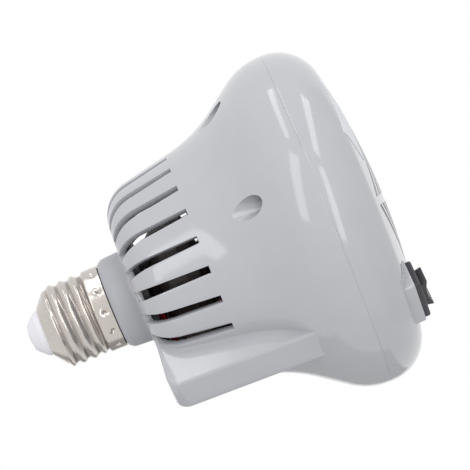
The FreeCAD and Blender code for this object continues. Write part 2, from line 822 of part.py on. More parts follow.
# Blank sticker that follows the dome beside the grille
label_skin = turned("label_skin", [
    (S.rim_radius, -parting_depth - 1),
    (S.rim_radius + S.label_thickness, -parting_depth - 1),
    (S.rim_radius + S.label_thickness, -dome_corner_depth - S.label_thickness,
     cover_round + S.label_thickness),
    (S.dome_flat_radius, -dome_depth - S.label_thickness, dome_round),
    (0, -dome_depth - S.label_thickness),
    (0, -dome_depth),
    (S.dome_flat_radius, -dome_depth, dome_round),
    (S.rim_radius, -dome_corner_depth, cover_round),
])
label_block = box("label_block", S.label_width, S.label_length, 12, label_inner_reach,
                  -S.label_length / 2, -dome_depth - 2)
label_block = rounded_edges("label_prism", label_block,
                            [(lambda extent: extent.ZLength > 1, S.label_corner_round)])
keep("blank_label", common("label_patch", label_skin, label_block))


def screw(name, radius, head_radius, head, length, x, y, seat_depth, up=True):
    """A pan-head screw that points down, with its head standing on its seat."""
    shank = rod(f"{name}_shank", radius, length, x, y, -as_size(seat_depth) - length)
    cap = rod(f"{name}_head", head_radius, head, x, y, -as_size(seat_depth))
    drive = [centred_box(f"{name}_drive_{n}", a, b, OVERSHOOT, x, y,
                         -as_size(seat_depth) + head - S.drive_depth)
             for n, (a, b) in enumerate(((S.drive_width, head_radius),
                                         (head_radius, S.drive_width)))]
    return cut(name, fuse(f"{name}_blank", shank, cap), *drive)


case_screws = []
for number, angle in enumerate(well_angles, start=1):
    x, y = on_ring(well_ring_radius, angle)
    case_screws.append(screw(f"case_screw_{number}", S.case_screw_radius,
                             S.case_screw_head_radius, S.case_screw_head,
                             S.case_screw_length, x, y, well_floor_depth))
keep("case_screws", fuse("case_screw_set", *case_screws))

# Rocker switch: a bezel and body with a pocket, the rocker on its pivots, three blades
bezel = centred_box("bezel_block", bezel_length, bezel_width, S.bezel_thickness,
                    0, switch_y, -bezel_foot)
bezel = rounded_edges("bezel", bezel, [
    (lambda extent: extent.ZLength > 1, S.bezel_corner_round),
    (lambda extent: extent.ZMax < -bezel_foot.number + 0.1, S.bezel_edge_round),
])
switch_block = centred_box("switch_block", switch_body_length, switch_body_width,
                           S.switch_body_depth, 0, switch_y, -pedestal_depth)
pocket_depth = S.rocker_sink + S.bezel_thickness + S.rocker_swing_room
pocket = centred_box("rocker_pocket", S.rocker_length + S.rocker_end_gap * 2,
                     S.rocker_width + S.rocker_side_gap * 2, pocket_depth,
                     0, switch_y, -bezel_foot)
pivot_depth = pedestal_depth
side_turn = Rotation(Vector(1, 0, 0), -90)
pivot_room = switch_body_width - S.pivot_end_wall * 2
pivot_pocket = rod("pivot_pocket", S.pivot_radius + S.pivot_gap, pivot_room, 0,
                   switch_y - pivot_room / 2, -pivot_depth, side_turn)
blade_depth = pedestal_depth - S.switch_body_depth
terminal_x = [S.terminal_pitch * n for n in (-1, 0, 1)]
blade_slots = [centred_box(f"blade_slot_{n}", S.terminal_thickness, S.terminal_width, S.terminal_root,
                           x, switch_y, -blade_depth - S.terminal_root)
               for n, x in enumerate(terminal_x)]
keep("switch_body", cut("finished_switch", fuse("switch_blank", bezel, switch_block),
                        pocket, pivot_pocket, *blade_slots))
for number, x in enumerate(terminal_x, start=1):
    blade = centred_box(f"blade_{number}", S.terminal_thickness, S.terminal_width,
                        S.terminal_length + S.terminal_root, x, switch_y,
                        -blade_depth - S.terminal_root)
    keep(f"switch_terminal_{number}", blade)

rocker_top = bezel_foot + S.rocker_proud
half_rocker = S.rocker_length / 2
rocker_block = padded("rocker_block", "XZ_Plane", [
    (-half_rocker, -rocker_top),
    (0, -rocker_top + S.rocker_dish),
    (half_rocker, -rocker_top),
    (half_rocker - S.rocker_waist_inset, -bezel_foot + S.rocker_waist_sink),
    (half_rocker - S.rocker_foot_inset, -bezel_foot + S.rocker_sink),
    (-half_rocker + S.rocker_foot_inset, -bezel_foot + S.rocker_sink),
    (-half_rocker + S.rocker_waist_inset, -bezel_foot + S.rocker_waist_sink),
], S.rocker_width, both_ways=True)
place(rocker_block, 0, switch_y, 0)
pivot_length = pivot_room - S.pivot_end_gap * 2
pivot = rod("rocker_pivot", S.pivot_radius, pivot_length, 0,
            switch_y - pivot_length / 2, -pivot_depth, side_turn)
keep("rocker", fuse("rocker_with_pivot", rocker_block, pivot))

# Motor bracket: a black plate under the rear face with two pillars for the motor
motor_top = plate_foot + S.pillar_height
plate = rod("bracket_plate", bracket_radius, S.bracket_thickness, 0, 0, -plate_foot)
pillars = [rod(f"pillar_{n}", S.pillar_radius, S.pillar_height, pillar_reach * n, 0,
               -motor_top) for n in (-1, 1)]
plate_hole = rod("plate_hole", neck_bore_radius, 4, 0, 0, -plate_foot - 1)
plate_notch = centred_box("plate_notch", S.bracket_notch, S.bracket_notch_length,
                          S.bracket_thickness + OVERSHOOT * 2, 0, -S.bracket_notch_length / 2,
                          -plate_foot - OVERSHOOT)
peg_holes = []
for number, angle in enumerate(peg_angles, start=1):
    x, y = on_ring(peg_reach, angle)
    peg_holes.append(rod(f"peg_hole_{number}", S.peg_radius + S.screw_gap, 4, x, y,
                         -plate_foot - 1))
head_seat = rear_inner_depth + S.motor_screw_head + S.screw_gap
motor_screws, motor_screw_holes = [], []
for number, side in enumerate((-1, 1), start=1):
    x = pillar_reach * side
    motor_screws.append(screw(f"motor_screw_{number}", S.motor_screw_radius,
                              S.motor_screw_head_radius, S.motor_screw_head,
                              motor_top + S.motor_screw_bite - head_seat, x, 0, head_seat))
    motor_screw_holes.append(rod(f"motor_screw_hole_{number}",
                                 S.motor_screw_radius + S.screw_gap, 12, x, 0, -motor_top - 3))
    motor_screw_holes.append(rod(f"motor_screw_sink_{number}",
                                 S.motor_screw_head_radius + S.screw_gap, 3, x, 0, -head_seat))
keep("motor_screws", fuse("motor_screw_set", *motor_screws))
keep("motor_bracket", cut("finished_bracket", fuse("bracket_blank", plate, *pillars),
                          plate_hole, plate_notch, *peg_holes, *motor_screw_holes))

# Motor can with its bearing boss, the shaft and the fan on it
motor_foot = motor_top + S.motor_length
bearing_foot = motor_foot + S.bearing_height
blind = motor_top + S.motor_back
motor_can = turned("motor_can", [
    (0, -motor_top), (S.motor_radius, -motor_top, S.motor_round),
    (S.motor_radius, -motor_foot, S.motor_round), (S.bearing_radius, -motor_foot),
    (S.bearing_radius, -bearing_foot), (S.shaft_radius + S.shaft_gap, -bearing_foot),
    (S.shaft_radius + S.shaft_gap, -blind), (0, -blind),
])
motor_holes = [rod(f"motor_hole_{n}", S.motor_screw_radius + S.screw_gap,
                   S.motor_screw_bite + 1, pillar_reach * n, 0,
                   -motor_top - S.motor_screw_bite - 0.3) for n in (-1, 1)]
keep("fan_motor", cut("drilled_motor", motor_can, *motor_holes))
hub_top = bearing_foot + S.fan_gap
hub_foot = hub_top + S.hub_height
shaft_top = blind + S.shaft_end_gap
shaft_foot = hub_foot - S.shaft_tail
keep("fan_shaft", rod("shaft_rod", S.shaft_radius, shaft_foot - shaft_top, 0, 0, -shaft_foot))
hub = rod("hub_blank", S.hub_radius, S.hub_height, 0, 0, -hub_foot)
blade_ring = rod("blade_ring", blade_reach, S.hub_height * 2, 0, 0, -hub_foot - 4)
blades = []
blade_tilt = Rotation(Vector(1, 0, 0), S.blade_tilt.number)
for number in range(int(S.blade_count.number)):
    vane = new("Part::Box", f"fan_blade_{number}")
    bind(vane, Length=blade_reach, Width=S.blade_chord, Height=S.blade_thickness)
    centre = Placement(Vector(0, 0, -(hub_top.number + hub_foot.number) / 2),
                       around(360.0 * number / S.blade_count.number) * blade_tilt)
    vane.Placement = centre.multiply(Placement(
        Vector(S.hub_radius.number * 0.5, -S.blade_chord.number / 2,
               -S.blade_thickness.number / 2), Rotation()))
    blades.append(vane)
fan_blank = common("fan_blank", fuse("hub_and_blades", hub, *blades), blade_ring)
keep("fan_impeller", cut("finished_fan", fan_blank, rod(
    "hub_bore", S.shaft_radius, S.hub_height * 2, 0, 0, -hub_foot - 4)))

# Heater: a square frame on the cover's bosses, two heating bars and three finned blocks
frame_half = heater_half_side + S.frame_wall
frame_blank = centred_box("frame_blank", frame_half * 2, frame_half * 2, S.frame_height,
                          0, 0, -frame_foot_depth)
frame_window = centred_box("frame_window", heater_half_side * 2, heater_half_side * 2,
                           S.frame_height + 2, 0, 0, -frame_foot_depth - 1)
ears = [rod(f"ear_{n}", S.ear_radius, S.ear_thickness, ear_reach * i, ear_reach * j,
            -frame_foot_depth) for n, (i, j) in enumerate(ear_spots, start=1)]
ear_webs = [centred_box(f"ear_web_{n}",
                        ear_reach - frame_half if i else S.ear_radius * 2,
                        ear_reach - frame_half if j else S.ear_radius * 2,
                        S.ear_thickness,
                        (ear_reach + frame_half) / 2 * i, (ear_reach + frame_half) / 2 * j,
                        -frame_foot_depth) for n, (i, j) in enumerate(ear_spots, start=1)]
ear_holes = [rod(f"ear_hole_{n}", S.heater_screw_radius + S.screw_gap, S.ear_thickness + 2,
                 ear_reach * i, ear_reach * j, -frame_foot_depth - 1)
             for n, (i, j) in enumerate(ear_spots, start=1)]
ledges = [centred_box(f"frame_ledge_{n}", S.ledge_width, heater_half_side * 2, S.ledge_height,
                      (heater_half_side - S.ledge_width / 2) * n, 0, -frame_foot_depth)
          for n in (-1, 1)]
frame_ring = cut("frame_ring", frame_blank, frame_window)
keep("heater_frame", cut("finished_frame", fuse("frame_with_ears", frame_ring, *ears, *ear_webs,
                                                *ledges), *ear_holes))
heater_screws = [screw(f"heater_screw_{n}", S.heater_screw_radius, S.heater_screw_head_radius,
                       S.heater_screw_head, S.heater_screw_length, ear_reach * i,
                       ear_reach * j, frame_foot_depth - S.ear_thickness)
                 for n, (i, j) in enumerate(ear_spots, start=1)]
keep("heater_screws", fuse("heater_screw_set", *heater_screws))
core_foot = frame_foot_depth - S.ledge_height
core_half = heater_half_side - S.press_gap
block_width = (core_half * 2 - S.bar_width * 2) / 3
block_y = [(block_width + S.bar_width) * n for n in (-1, 0, 1)]
for number, y in enumerate(block_y, start=1):
    blank = centred_box(f"fin_blank_{number}", core_half * 2, block_width, S.fin_height,
                        0, y, -core_foot)
    pitch = core_half * 2 / S.fin_slits
    gap = pitch - S.fin_thickness
    slits = [box(f"fin_slit_{number}_{n}", gap, block_width - S.fin_rail * 2, S.fin_height + 2,
                 -core_half + pitch * n + S.fin_thickness / 2,
                 y - block_width / 2 + S.fin_rail, -core_foot - 1)
             for n in range(int(S.fin_slits.number))]
    keep(f"fin_block_{number}", cut(f"finned_block_{number}", blank, *slits))
for number, n in enumerate((-1, 1), start=1):
    y = (block_width + S.bar_width) / 2 * n
    keep(f"heating_bar_{number}", centred_box(f"bar_{number}", core_half * 2, S.bar_width,
                                              S.fin_height, 0, y, -core_foot))
    riser = centred_box(f"blade_riser_{number}", S.riser_thickness, S.riser_width,
                        S.riser_height, (core_half - S.riser_inset) * n, y,
                        -core_foot + S.fin_height)
    keep(f"heater_terminal_{number}", riser)

# Thermal cut-out and fuse lie on the heater's upper face
core_top = core_foot - S.fin_height
keep("thermal_cutout", centred_box("cutout_case", S.cutout_length, S.cutout_width,
                                   S.cutout_height, -S.cutout_shift, 0, -core_top))
fuse_turn = Rotation(Vector(0, 1, 0), 90)
keep("thermal_fuse", rod("fuse_can", S.fuse_radius, S.fuse_length, S.fuse_start, 0,
                         -core_top + S.fuse_radius, fuse_turn))

# Circuit board on edge beside the heater, with its capacitor and rectifier
board_foot = frame_foot_depth - S.board_rise
board_face = frame_half + S.board_thickness
keep("circuit_board", box("board", S.board_thickness, S.board_length, S.board_height,
                          -board_face, -S.board_length / 2, -board_foot))
keep("dropper_capacitor", box("capacitor_case", S.capacitor_thickness, S.capacitor_length,
                              S.capacitor_height, -board_face - S.capacitor_thickness,
                              -S.board_length / 2 + S.capacitor_edge,
                              -board_foot + S.capacitor_rise))
keep("bridge_rectifier", box("rectifier_case", S.rectifier_thickness, S.rectifier_side,
                             S.rectifier_side, -board_face - S.rectifier_thickness,
                             S.board_length / 2 - S.rectifier_edge,
                             -board_foot + S.rectifier_rise))


def wire(name, route):
    """A round wire along straight runs that are joined by tangent arcs."""
    points = [Vector(*point) for point in route]
    edges, last = [], points[0]
    for before, corner, after in zip(points, points[1:], points[2:]):
        into, out = corner - before, after - corner
        turn = into.getAngle(out)
        back = 0.45 * min(into.Length, out.Length)
        into.normalize()
        out.normalize()
        start, end = corner - into * back, corner + out * back
        radius = back / math.tan(turn / 2)
        towards = (out - into).normalize()
        middle = corner + towards * (radius / math.cos(turn / 2) - radius)
        edges.append(Part.LineSegment(last, start).toShape())
        edges.append(Part.Arc(start, middle, end).toShape())
        last = end
    edges.append(Part.LineSegment(last, points[-1]).toShape())
    path = Part.Wire(edges)
    heading = points[1] - points[0]
    ring = Part.Wire(Part.makeCircle(S.wire_radius.number, points[0], heading))
    item = new("Part::Feature", f"{name}_tube")
    item.Shape = path.makePipeShell([ring], True, False)
    return keep(name, item)


neck_z = -nose_foot_depth.number
shell_wire_z = -S.shell_wire_depth.number
gap_z = -(plate_foot + S.pillar_height * 0.5).number
blade_tip_z = -(core_top - S.riser_height).number
switch_tip_z = -(blade_depth - S.terminal_length).number
board_top_z = -(board_foot - S.board_height).number
bar_x, bar_y = (core_half - S.riser_inset).number, ((block_width + S.bar_width) / 2).number
switch_at_y, blade_x = switch_y.number, S.terminal_pitch.number
wire("live_wire", [
    (0, 0, neck_z - 0.1), (-0.5, -0.5, -20), (-1.2, -3, -29), (-1.5, -7.4, -38.9),
    (-1.5, -19, gap_z - 0.2), (-1.5, -29, -42.5), (-1.5, -37, -51), (-1.8, -40.5, -64),
    (0.3, -40.3, -78), (0, switch_at_y, switch_tip_z + 0.3),
])
wire("neutral_wire", [
    (0, 11.5, shell_wire_z), (0.3, 5.2, shell_wire_z), (0.8, 2, -20), (1.2, -2.5, -29),
    (1.5, -7.4, -38.9), (2.5, -18, gap_z - 0.2), (6.5, -25.5, -43.5), (12.6, -29.1, -53),
    (15.4, -28.2, -66), (19, -21, -75.5), (22.4, -6, -79), (bar_x, bar_y, blade_tip_z + 1.2),
])
wire("heater_wire", [
    (-blade_x, switch_at_y, switch_tip_z + 0.3), (-5, -39.6, -89), (-9, -34.5, -81.5),
    (-16, -24, -77.5), (-22, -14.5, -77), (-bar_x, -bar_y, blade_tip_z + 1.2),
])
for name, side in (("motor_wire_red", 1), ("motor_wire_black", -1)):
    wire(name, [
        (-7, side * 4.2, gap_z - 0.45), (-17, side * 4.2, gap_z - 0.2), (-25.5, side * 4.5, -44.5),
        (-31.4, side * 4.8, -54), (-31.8, side * 4.6, -67),
        (-board_face.number + 0.8, side * 5, board_top_z + 0.5),
    ])

doc.recompute()
for item in doc.Objects:
    if "Invalid" in item.State or "Error" in item.State:
        raise SystemExit(f"{item.Name} failed: {item.State}")
for name, item in parts:
    if item.Shape.isNull() or not item.Shape.isValid() or not item.Shape.Solids:
        raise SystemExit(f"{name} has no valid solid")
os.makedirs("parts", exist_ok=True)
for name, item in parts:
    item.Shape.exportStep(os.path.join("parts", f"{name}.step"))
    print(name, len(item.Shape.Solids), round(item.Shape.Volume, 1))
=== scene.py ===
import json
import logging
import math
from dataclasses import dataclass
from enum import Enum
from typing import Callable, Iterable, Sequence

import bpy
from mathutils import Matrix, Vector


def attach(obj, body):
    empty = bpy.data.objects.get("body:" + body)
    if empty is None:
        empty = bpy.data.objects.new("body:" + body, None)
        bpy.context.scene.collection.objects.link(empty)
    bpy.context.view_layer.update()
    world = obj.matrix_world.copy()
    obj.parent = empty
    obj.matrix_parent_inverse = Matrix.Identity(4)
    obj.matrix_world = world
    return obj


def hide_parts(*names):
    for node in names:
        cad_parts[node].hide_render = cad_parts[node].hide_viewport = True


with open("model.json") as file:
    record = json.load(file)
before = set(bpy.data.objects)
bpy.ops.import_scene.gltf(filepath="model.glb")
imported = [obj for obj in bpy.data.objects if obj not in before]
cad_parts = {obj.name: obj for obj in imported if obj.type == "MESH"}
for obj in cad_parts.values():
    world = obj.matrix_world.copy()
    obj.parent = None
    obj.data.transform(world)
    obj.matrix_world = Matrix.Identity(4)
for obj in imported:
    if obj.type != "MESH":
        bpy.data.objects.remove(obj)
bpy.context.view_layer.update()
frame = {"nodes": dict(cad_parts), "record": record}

Piece = bpy.types.Object

# Lengths are in millimetres and angles in degrees, where nothing else is said
MM = 0.001
FULL_TURN = 2 * math.pi
NEAR = 0.01               # two places this close are one
OVERLAP = 1.0             # how far a tool reaches past what it cuts
MERGE_DISTANCE = 2e-6     # corners this close are merged, in metres
BLEND = 1.0               # over this height one finish runs into another
FINE_GRAIN = 3.7          # fine grains in the length of a broad one
NOISE_RANGE = (0.3, 0.7)  # where most of a noise's values lie
BUMP_STRENGTH = 0.35
CREASE = 50.0             # an edge counts as sharp from this angle
FINE_CREASE = 30.0        # the same on a finished moulding, whose edges are rounded
HOLE_SIDES = 24           # sides of a screw's hole
AREA_LAMP_FACTOR = 4.0    # a lamp's watts for each square metre and unit of radiance
log = logging.getLogger("brooder_heater")


class Surface(Enum):
    """How a surface was made, which decides its pattern."""

    MOULDED = "moulded"
    PLATED = "plated"
    DRAWN = "drawn"
    PRINTED = "printed"


class Join(Enum):
    """How two solids are combined."""

    ADD = "UNION"
    CUT = "DIFFERENCE"
    SHARE = "INTERSECT"


@dataclass(frozen=True)
class Finish:
    """One real material and the way its surface was made.

    Roughness varies by the spread. A finish may be darkened inside a radius and below a height as
    painted shade, or be matt above one, where its colour is also darkened as painted shade. Radii
    and heights are the lamp's own.
    """

    name: str
    surface: Surface
    light_hex: str
    dark_hex: str
    grain_mm: float
    roughness: float
    spread: float = 0.06
    bump_mm: float = 0.004
    metallic: float = 0.0
    ior: float = 1.5
    stretch: tuple = (1.0, 1.0, 1.0)
    full_shade_radius: float = 0.0
    no_shade_radius: float = 0.0
    painted_shade_hex: str = "#000000"
    shade_below: float = 0.0
    matt_above: float = 0.0
    matt_roughness: float = 0.0
    matt_painted_shade_hex: str = "#000000"


# Glossy ABS: the polished mould leaves clear highlights with faintly waved edges, and the part of
# the mould round the collar is textured, so that the collar is matt; there its colour is also
# darkened as painted shade
GREY_ABS = Finish("moulded_grey_abs", Surface.MOULDED, "#AFB0B4", "#A9AAAF", 9.0, 0.11,
                  spread=0.04, ior=1.54, matt_above=-34.4, matt_roughness=0.42,
                  matt_painted_shade_hex="#A2A3A8")
# Nylon of the switch: a dull, even black with a fine spark-eroded texture
BLACK_NYLON = Finish("moulded_black_nylon", Surface.MOULDED, "#37373D", "#2C2C31", 0.5, 0.38,
                     bump_mm=0.010)
# Polypropylene nose: milky white and soft in its highlights
WHITE_PLASTIC = Finish("moulded_white_polypropylene", Surface.MOULDED, "#DCDCE1", "#D5D5DB", 2.0,
                       0.42)
# Nickel plate on drawn brass: warm grey and mirror-like, with faint marks round the shell, and
# darkened in the roots of its thread, below the cone, as painted shade
NICKEL = Finish("nickel_plated_brass", Surface.PLATED, "#D2CCC6", "#B9B2AC", 1.6, 0.20,
                bump_mm=0.0004, metallic=1.0, stretch=(1.0, 1.0, 6.0), full_shade_radius=12.0,
                no_shade_radius=12.5, painted_shade_hex="#857C76", shade_below=-10.4)
# Vinyl sticker: paler than the housing and satin, with a paper-like tooth
LABEL_VINYL = Finish("printed_vinyl", Surface.PRINTED, "#D4D6DA", "#CDD0D4", 0.8, 0.5)
# Zinc-plated steel of screws and shaft: grey with a low, cloudy shine
ZINC_STEEL = Finish("zinc_plated_steel", Surface.PLATED, "#B9BBBD", "#9A9C9F", 0.8, 0.28,
                    metallic=1.0)
# Stamped brass of the blades: yellow, with rolling marks along it
BRASS = Finish("stamped_brass", Surface.DRAWN, "#C7A55E", "#A8853F", 0.6, 0.3, metallic=1.0,
               stretch=(1.0, 1.0, 8.0))
# Stove lacquer on the motor can: dark, with a low gloss
LACQUER = Finish("black_stove_lacquer", Surface.MOULDED, "#4A4340", "#3A3432", 1.5, 0.3)
# Glass-filled nylon of the fan: brown black and matt
FAN_NYLON = Finish("glass_filled_brown_nylon", Surface.MOULDED, "#4A3A33", "#37291F", 0.8, 0.5)
# Phenolic moulding of the heater frame: brown, hard and slightly mottled
PHENOLIC = Finish("moulded_phenolic", Surface.MOULDED, "#5A4234", "#443024", 0.7, 0.42)
# Mill-finish aluminium of the fins: rolled lengthways, so its shine is drawn out
ALUMINIUM = Finish("rolled_aluminium", Surface.DRAWN, "#B9B6B2", "#98948F", 0.5, 0.35,
                   metallic=1.0, stretch=(8.0, 1.0, 1.0))
# Fired ceramic of the fuse body: chalky white
CERAMIC = Finish("fired_ceramic", Surface.MOULDED, "#E4E1D8", "#D8D4C9", 0.5, 0.55)
# Paper laminate of the board: tan, with its pressed fibres
LAMINATE = Finish("paper_phenolic_laminate", Surface.PRINTED, "#9A7440", "#866233", 0.4, 0.45)
# Epoxy dip of the film capacitor: red brown and glossy
EPOXY = Finish("dipped_epoxy", Surface.MOULDED, "#8C2A1E", "#7A2118", 0.9, 0.3)
# Extruded PVC sleeves of the wires: smooth, with a soft shine
RED_PVC = Finish("extruded_red_pvc", Surface.MOULDED, "#A8121F", "#8E0E1A", 1.2, 0.35)
BLACK_PVC = Finish("extruded_black_pvc", Surface.MOULDED, "#1A1A1C", "#111113", 1.2, 0.4)

NODE_FINISHES = {
    "centre_contact": NICKEL, "insulator_nose": WHITE_PLASTIC, "screw_shell": NICKEL,
    "rear_housing": GREY_ABS, "front_cover": GREY_ABS, "blank_label": LABEL_VINYL,
    "case_screws": ZINC_STEEL, "switch_body": BLACK_NYLON, "switch_terminal_1": BRASS,
    "switch_terminal_2": BRASS, "switch_terminal_3": BRASS, "rocker": BLACK_NYLON,
    "motor_screws": ZINC_STEEL, "motor_bracket": BLACK_NYLON, "fan_motor": LACQUER,
    "fan_shaft": ZINC_STEEL, "fan_impeller": FAN_NYLON, "heater_frame": PHENOLIC,
    "heater_screws": ZINC_STEEL, "fin_block_1": ALUMINIUM, "fin_block_2": ALUMINIUM,
    "fin_block_3": ALUMINIUM, "heating_bar_1": ALUMINIUM, "heating_bar_2": ALUMINIUM,
    "heater_terminal_1": BRASS, "heater_terminal_2": BRASS, "thermal_cutout": BLACK_NYLON,
    "thermal_fuse": CERAMIC, "circuit_board": LAMINATE, "dropper_capacitor": EPOXY,
    "bridge_rectifier": BLACK_NYLON, "live_wire": RED_PVC, "neutral_wire": RED_PVC,
    "heater_wire": BLACK_PVC, "motor_wire_red": RED_PVC, "motor_wire_black": BLACK_PVC,
}


def linear_colour(code: str) -> tuple:
    """Turn an sRGB hex value into a linear colour.

    Args:
        code: The colour as "#RRGGBB".

    Returns:
        Red, green, blue and an alpha of 1, linear.
    """
    channels = [int(code[i:i + 2], 16) / 255 for i in (1, 3, 5)]
    linear = [c / 12.92 if c <= 0.04045 else ((c + 0.055) / 1.055) ** 2.4 for c in channels]
    return (*linear, 1.0)


def add_node(tree: bpy.types.NodeTree, kind: str, settings: dict, links: dict) -> bpy.types.Node:
    """Add a shader node with its settings and its incoming links.

    Args:
        tree: The node tree.
        kind: The node's type name after "ShaderNode".
        settings: Values by the name of an attribute or the name or number of an input.
        links: Sockets to link, by the name or number of the input that they feed.

    Returns:
        The new node.
    """
    node = tree.nodes.new("ShaderNode" + kind)
    for name, value in settings.items():
        if isinstance(name, int) or name in node.inputs:
            node.inputs[name].default_value = value
        else:
            setattr(node, name, value)
    for name, socket in links.items():
        tree.links.new(socket, node.inputs[name])
    return node


def finish_material(finish: Finish) -> bpy.types.Material:
    """Make a finish's material once, and give the same one again after that.

    Args:
        finish: The finish to build.

    Returns:
        Its material.
    """
    known = bpy.data.materials.get(finish.name)
    if known:
        return known
    material = bpy.data.materials.new(finish.name)
    material.use_nodes = True
    tree = material.node_tree
    tree.nodes.clear()
    place = add_node(tree, "TexCoord", {}, {})
    drawn = add_node(tree, "Mapping", {"Scale": finish.stretch},
                     {"Vector": place.outputs["Object"]})
    per_metre = 1 / (finish.grain_mm * MM)
    broad = add_node(tree, "TexNoise", {"Scale": per_metre, "Detail": 3.0, "Roughness": 0.55},
                     {"Vector": drawn.outputs["Vector"]})
    fine = add_node(tree, "TexNoise", {"Scale": per_metre * FINE_GRAIN, "Detail": 2.0},
                    {"Vector": drawn.outputs["Vector"]})
    tint = add_node(tree, "Mix",
                    {"data_type": "RGBA", 6: linear_colour(finish.dark_hex),
                     7: linear_colour(finish.light_hex)}, {0: broad.outputs["Fac"]})
    gloss = add_node(tree, "MapRange",
                     {"From Min": NOISE_RANGE[0], "From Max": NOISE_RANGE[1],
                      "To Min": finish.roughness - finish.spread / 2,
                      "To Max": finish.roughness + finish.spread / 2},
                     {"Value": fine.outputs["Fac"]})
    height = broad if finish.surface is Surface.MOULDED else fine
    bump = add_node(tree, "Bump", {"Strength": BUMP_STRENGTH, "Distance": finish.bump_mm * MM},
                    {"Height": height.outputs["Fac"]})
    level = add_node(tree, "SeparateXYZ", {}, {0: place.outputs["Object"]})
    # Painted shade: the colour darkens inside a radius and below a height, in the roots of a
    # thread
    if finish.no_shade_radius:
        flat = add_node(tree, "VectorMath", {"operation": "MULTIPLY", 1: (1, 1, 0)},
                        {0: place.outputs["Object"]})
        radius = add_node(tree, "VectorMath", {"operation": "LENGTH"},
                          {0: flat.outputs["Vector"]})
        share = add_node(tree, "MapRange",
                         {"From Min": finish.full_shade_radius * MM,
                          "From Max": finish.no_shade_radius * MM},
                         {"Value": radius.outputs["Value"]})
        above = add_node(tree, "MapRange",
                         {"From Min": finish.shade_below * MM,
                          "From Max": (finish.shade_below + BLEND) * MM},
                         {"Value": level.outputs["Z"]})
        unshaded = add_node(tree, "Math", {"operation": "MAXIMUM"},
                          {0: share.outputs["Result"], 1: above.outputs["Result"]})
        tint = add_node(tree, "Mix", {"data_type": "RGBA", 6: linear_colour(finish.painted_shade_hex)},
                        {0: unshaded.outputs[0], 7: tint.outputs[2]})
    roughness = gloss.outputs["Result"]
    if finish.matt_above:
        matt = add_node(tree, "MapRange",
                        {"From Min": (finish.matt_above - BLEND) * MM,
                         "From Max": finish.matt_above * MM}, {"Value": level.outputs["Z"]})
        roughness = add_node(tree, "Mix", {"data_type": "FLOAT", 3: finish.matt_roughness},
                             {0: matt.outputs["Result"], 2: roughness}).outputs[0]
        # Painted shade: the matt collar's colour is darkened as well as roughened
        tint = add_node(tree, "Mix", {"data_type": "RGBA", 7: linear_colour(finish.matt_painted_shade_hex)},
                        {0: matt.outputs["Result"], 6: tint.outputs[2]})
    shader = add_node(tree, "BsdfPrincipled", {"Metallic": finish.metallic, "IOR": finish.ior},
                      {"Base Color": tint.outputs[2], "Roughness": roughness,
                       "Normal": bump.outputs["Normal"]})
    add_node(tree, "OutputMaterial", {}, {"Surface": shader.outputs["BSDF"]})
    return material


def wear(piece: Piece, finish: Finish) -> None:
    """Give a piece one finish all over."""
    piece.data.materials.clear()
    piece.data.materials.append(finish_material(finish))


def deselect() -> None:
    """Leave edit mode and deselect every object."""
    if bpy.context.object and bpy.context.object.mode != "OBJECT":
        bpy.ops.object.mode_set(mode="OBJECT")
    bpy.ops.object.select_all(action="DESELECT")


def activate(piece: Piece) -> None:
    """Make a piece the only selected and active object."""
    deselect()
    piece.select_set(True)
    bpy.context.view_layer.objects.active = piece


def finished(name: str) -> Piece:
    """Name the active object and move its place into its mesh.

    Args:
        name: The piece's name.

    Returns:
        The piece, with its object at the origin.
    """
    piece = bpy.context.object
    piece.name = name
    piece.data.name = name
    activate(piece)
    bpy.ops.object.transform_apply(location=True, rotation=True, scale=True)
    return piece


def edit_all(piece: Piece) -> None:
    """Enter edit mode with the whole piece selected."""
    activate(piece)
    bpy.ops.object.mode_set(mode="EDIT")
    bpy.ops.mesh.select_all(action="SELECT")


def leave_edit() -> None:
    """Go back to object mode."""
    bpy.ops.object.mode_set(mode="OBJECT")


def clamped(share: float) -> float:
    """Keep a share between 0 and 1."""
    return min(max(share, 0), 1)


def upright(a: Vector, b: Vector) -> bool:
    """Whether an edge climbs by more than a millimetre."""
    return abs(a.z - b.z) > 1


def pick(piece: Piece, kind: str, test: Callable) -> None:
    """Enter edit mode with the faces or edges selected that pass a test.

    Args:
        piece: The piece.
        kind: FACE or EDGE.
        test: Takes a face, or the two corners of an edge in millimetres.
    """
    activate(piece)
    bpy.ops.object.mode_set(mode="EDIT")
    bpy.ops.mesh.select_mode(type=kind)
    bpy.ops.mesh.select_all(action="DESELECT")
    leave_edit()
    mesh = piece.data
    if kind == "FACE":
        for face in mesh.polygons:
            face.select = bool(test(face))
    else:
        for edge in mesh.edges:
            ends = [mesh.vertices[i].co / MM for i in edge.vertices]
            edge.select = bool(test(*ends))
    bpy.ops.object.mode_set(mode="EDIT")


def face_out(piece: Piece) -> Piece:
    """Merge doubles and turn every face outwards.

    Args:
        piece: The closed or open piece.

    Returns:
        The piece.
    """
    edit_all(piece)
    bpy.ops.mesh.remove_doubles(threshold=MERGE_DISTANCE)
    bpy.ops.mesh.normals_make_consistent(inside=False)
    leave_edit()
    return piece


def face_away(piece: Piece) -> None:
    """Turn an open surface's faces away from the lamp's axis.

    Args:
        piece: The surface.
    """
    side = max(piece.data.polygons, key=lambda face: face.center.xy.length)
    if side.normal.xy.dot(side.center.xy) < 0:
        pick(piece, "FACE", lambda face: True)
        bpy.ops.mesh.flip_normals()
        leave_edit()


def modify(piece: Piece, kind: str, **settings) -> None:
    """Add a modifier, set it up and apply it.

    Args:
        piece: The piece to change.
        kind: The modifier's type.
        **settings: The modifier's properties.
    """
    activate(piece)
    bpy.ops.object.modifier_add(type=kind)
    modifier = piece.modifiers[-1]
    for name, value in settings.items():
        setattr(modifier, name, value)
    bpy.ops.object.modifier_apply(modifier=modifier.name)


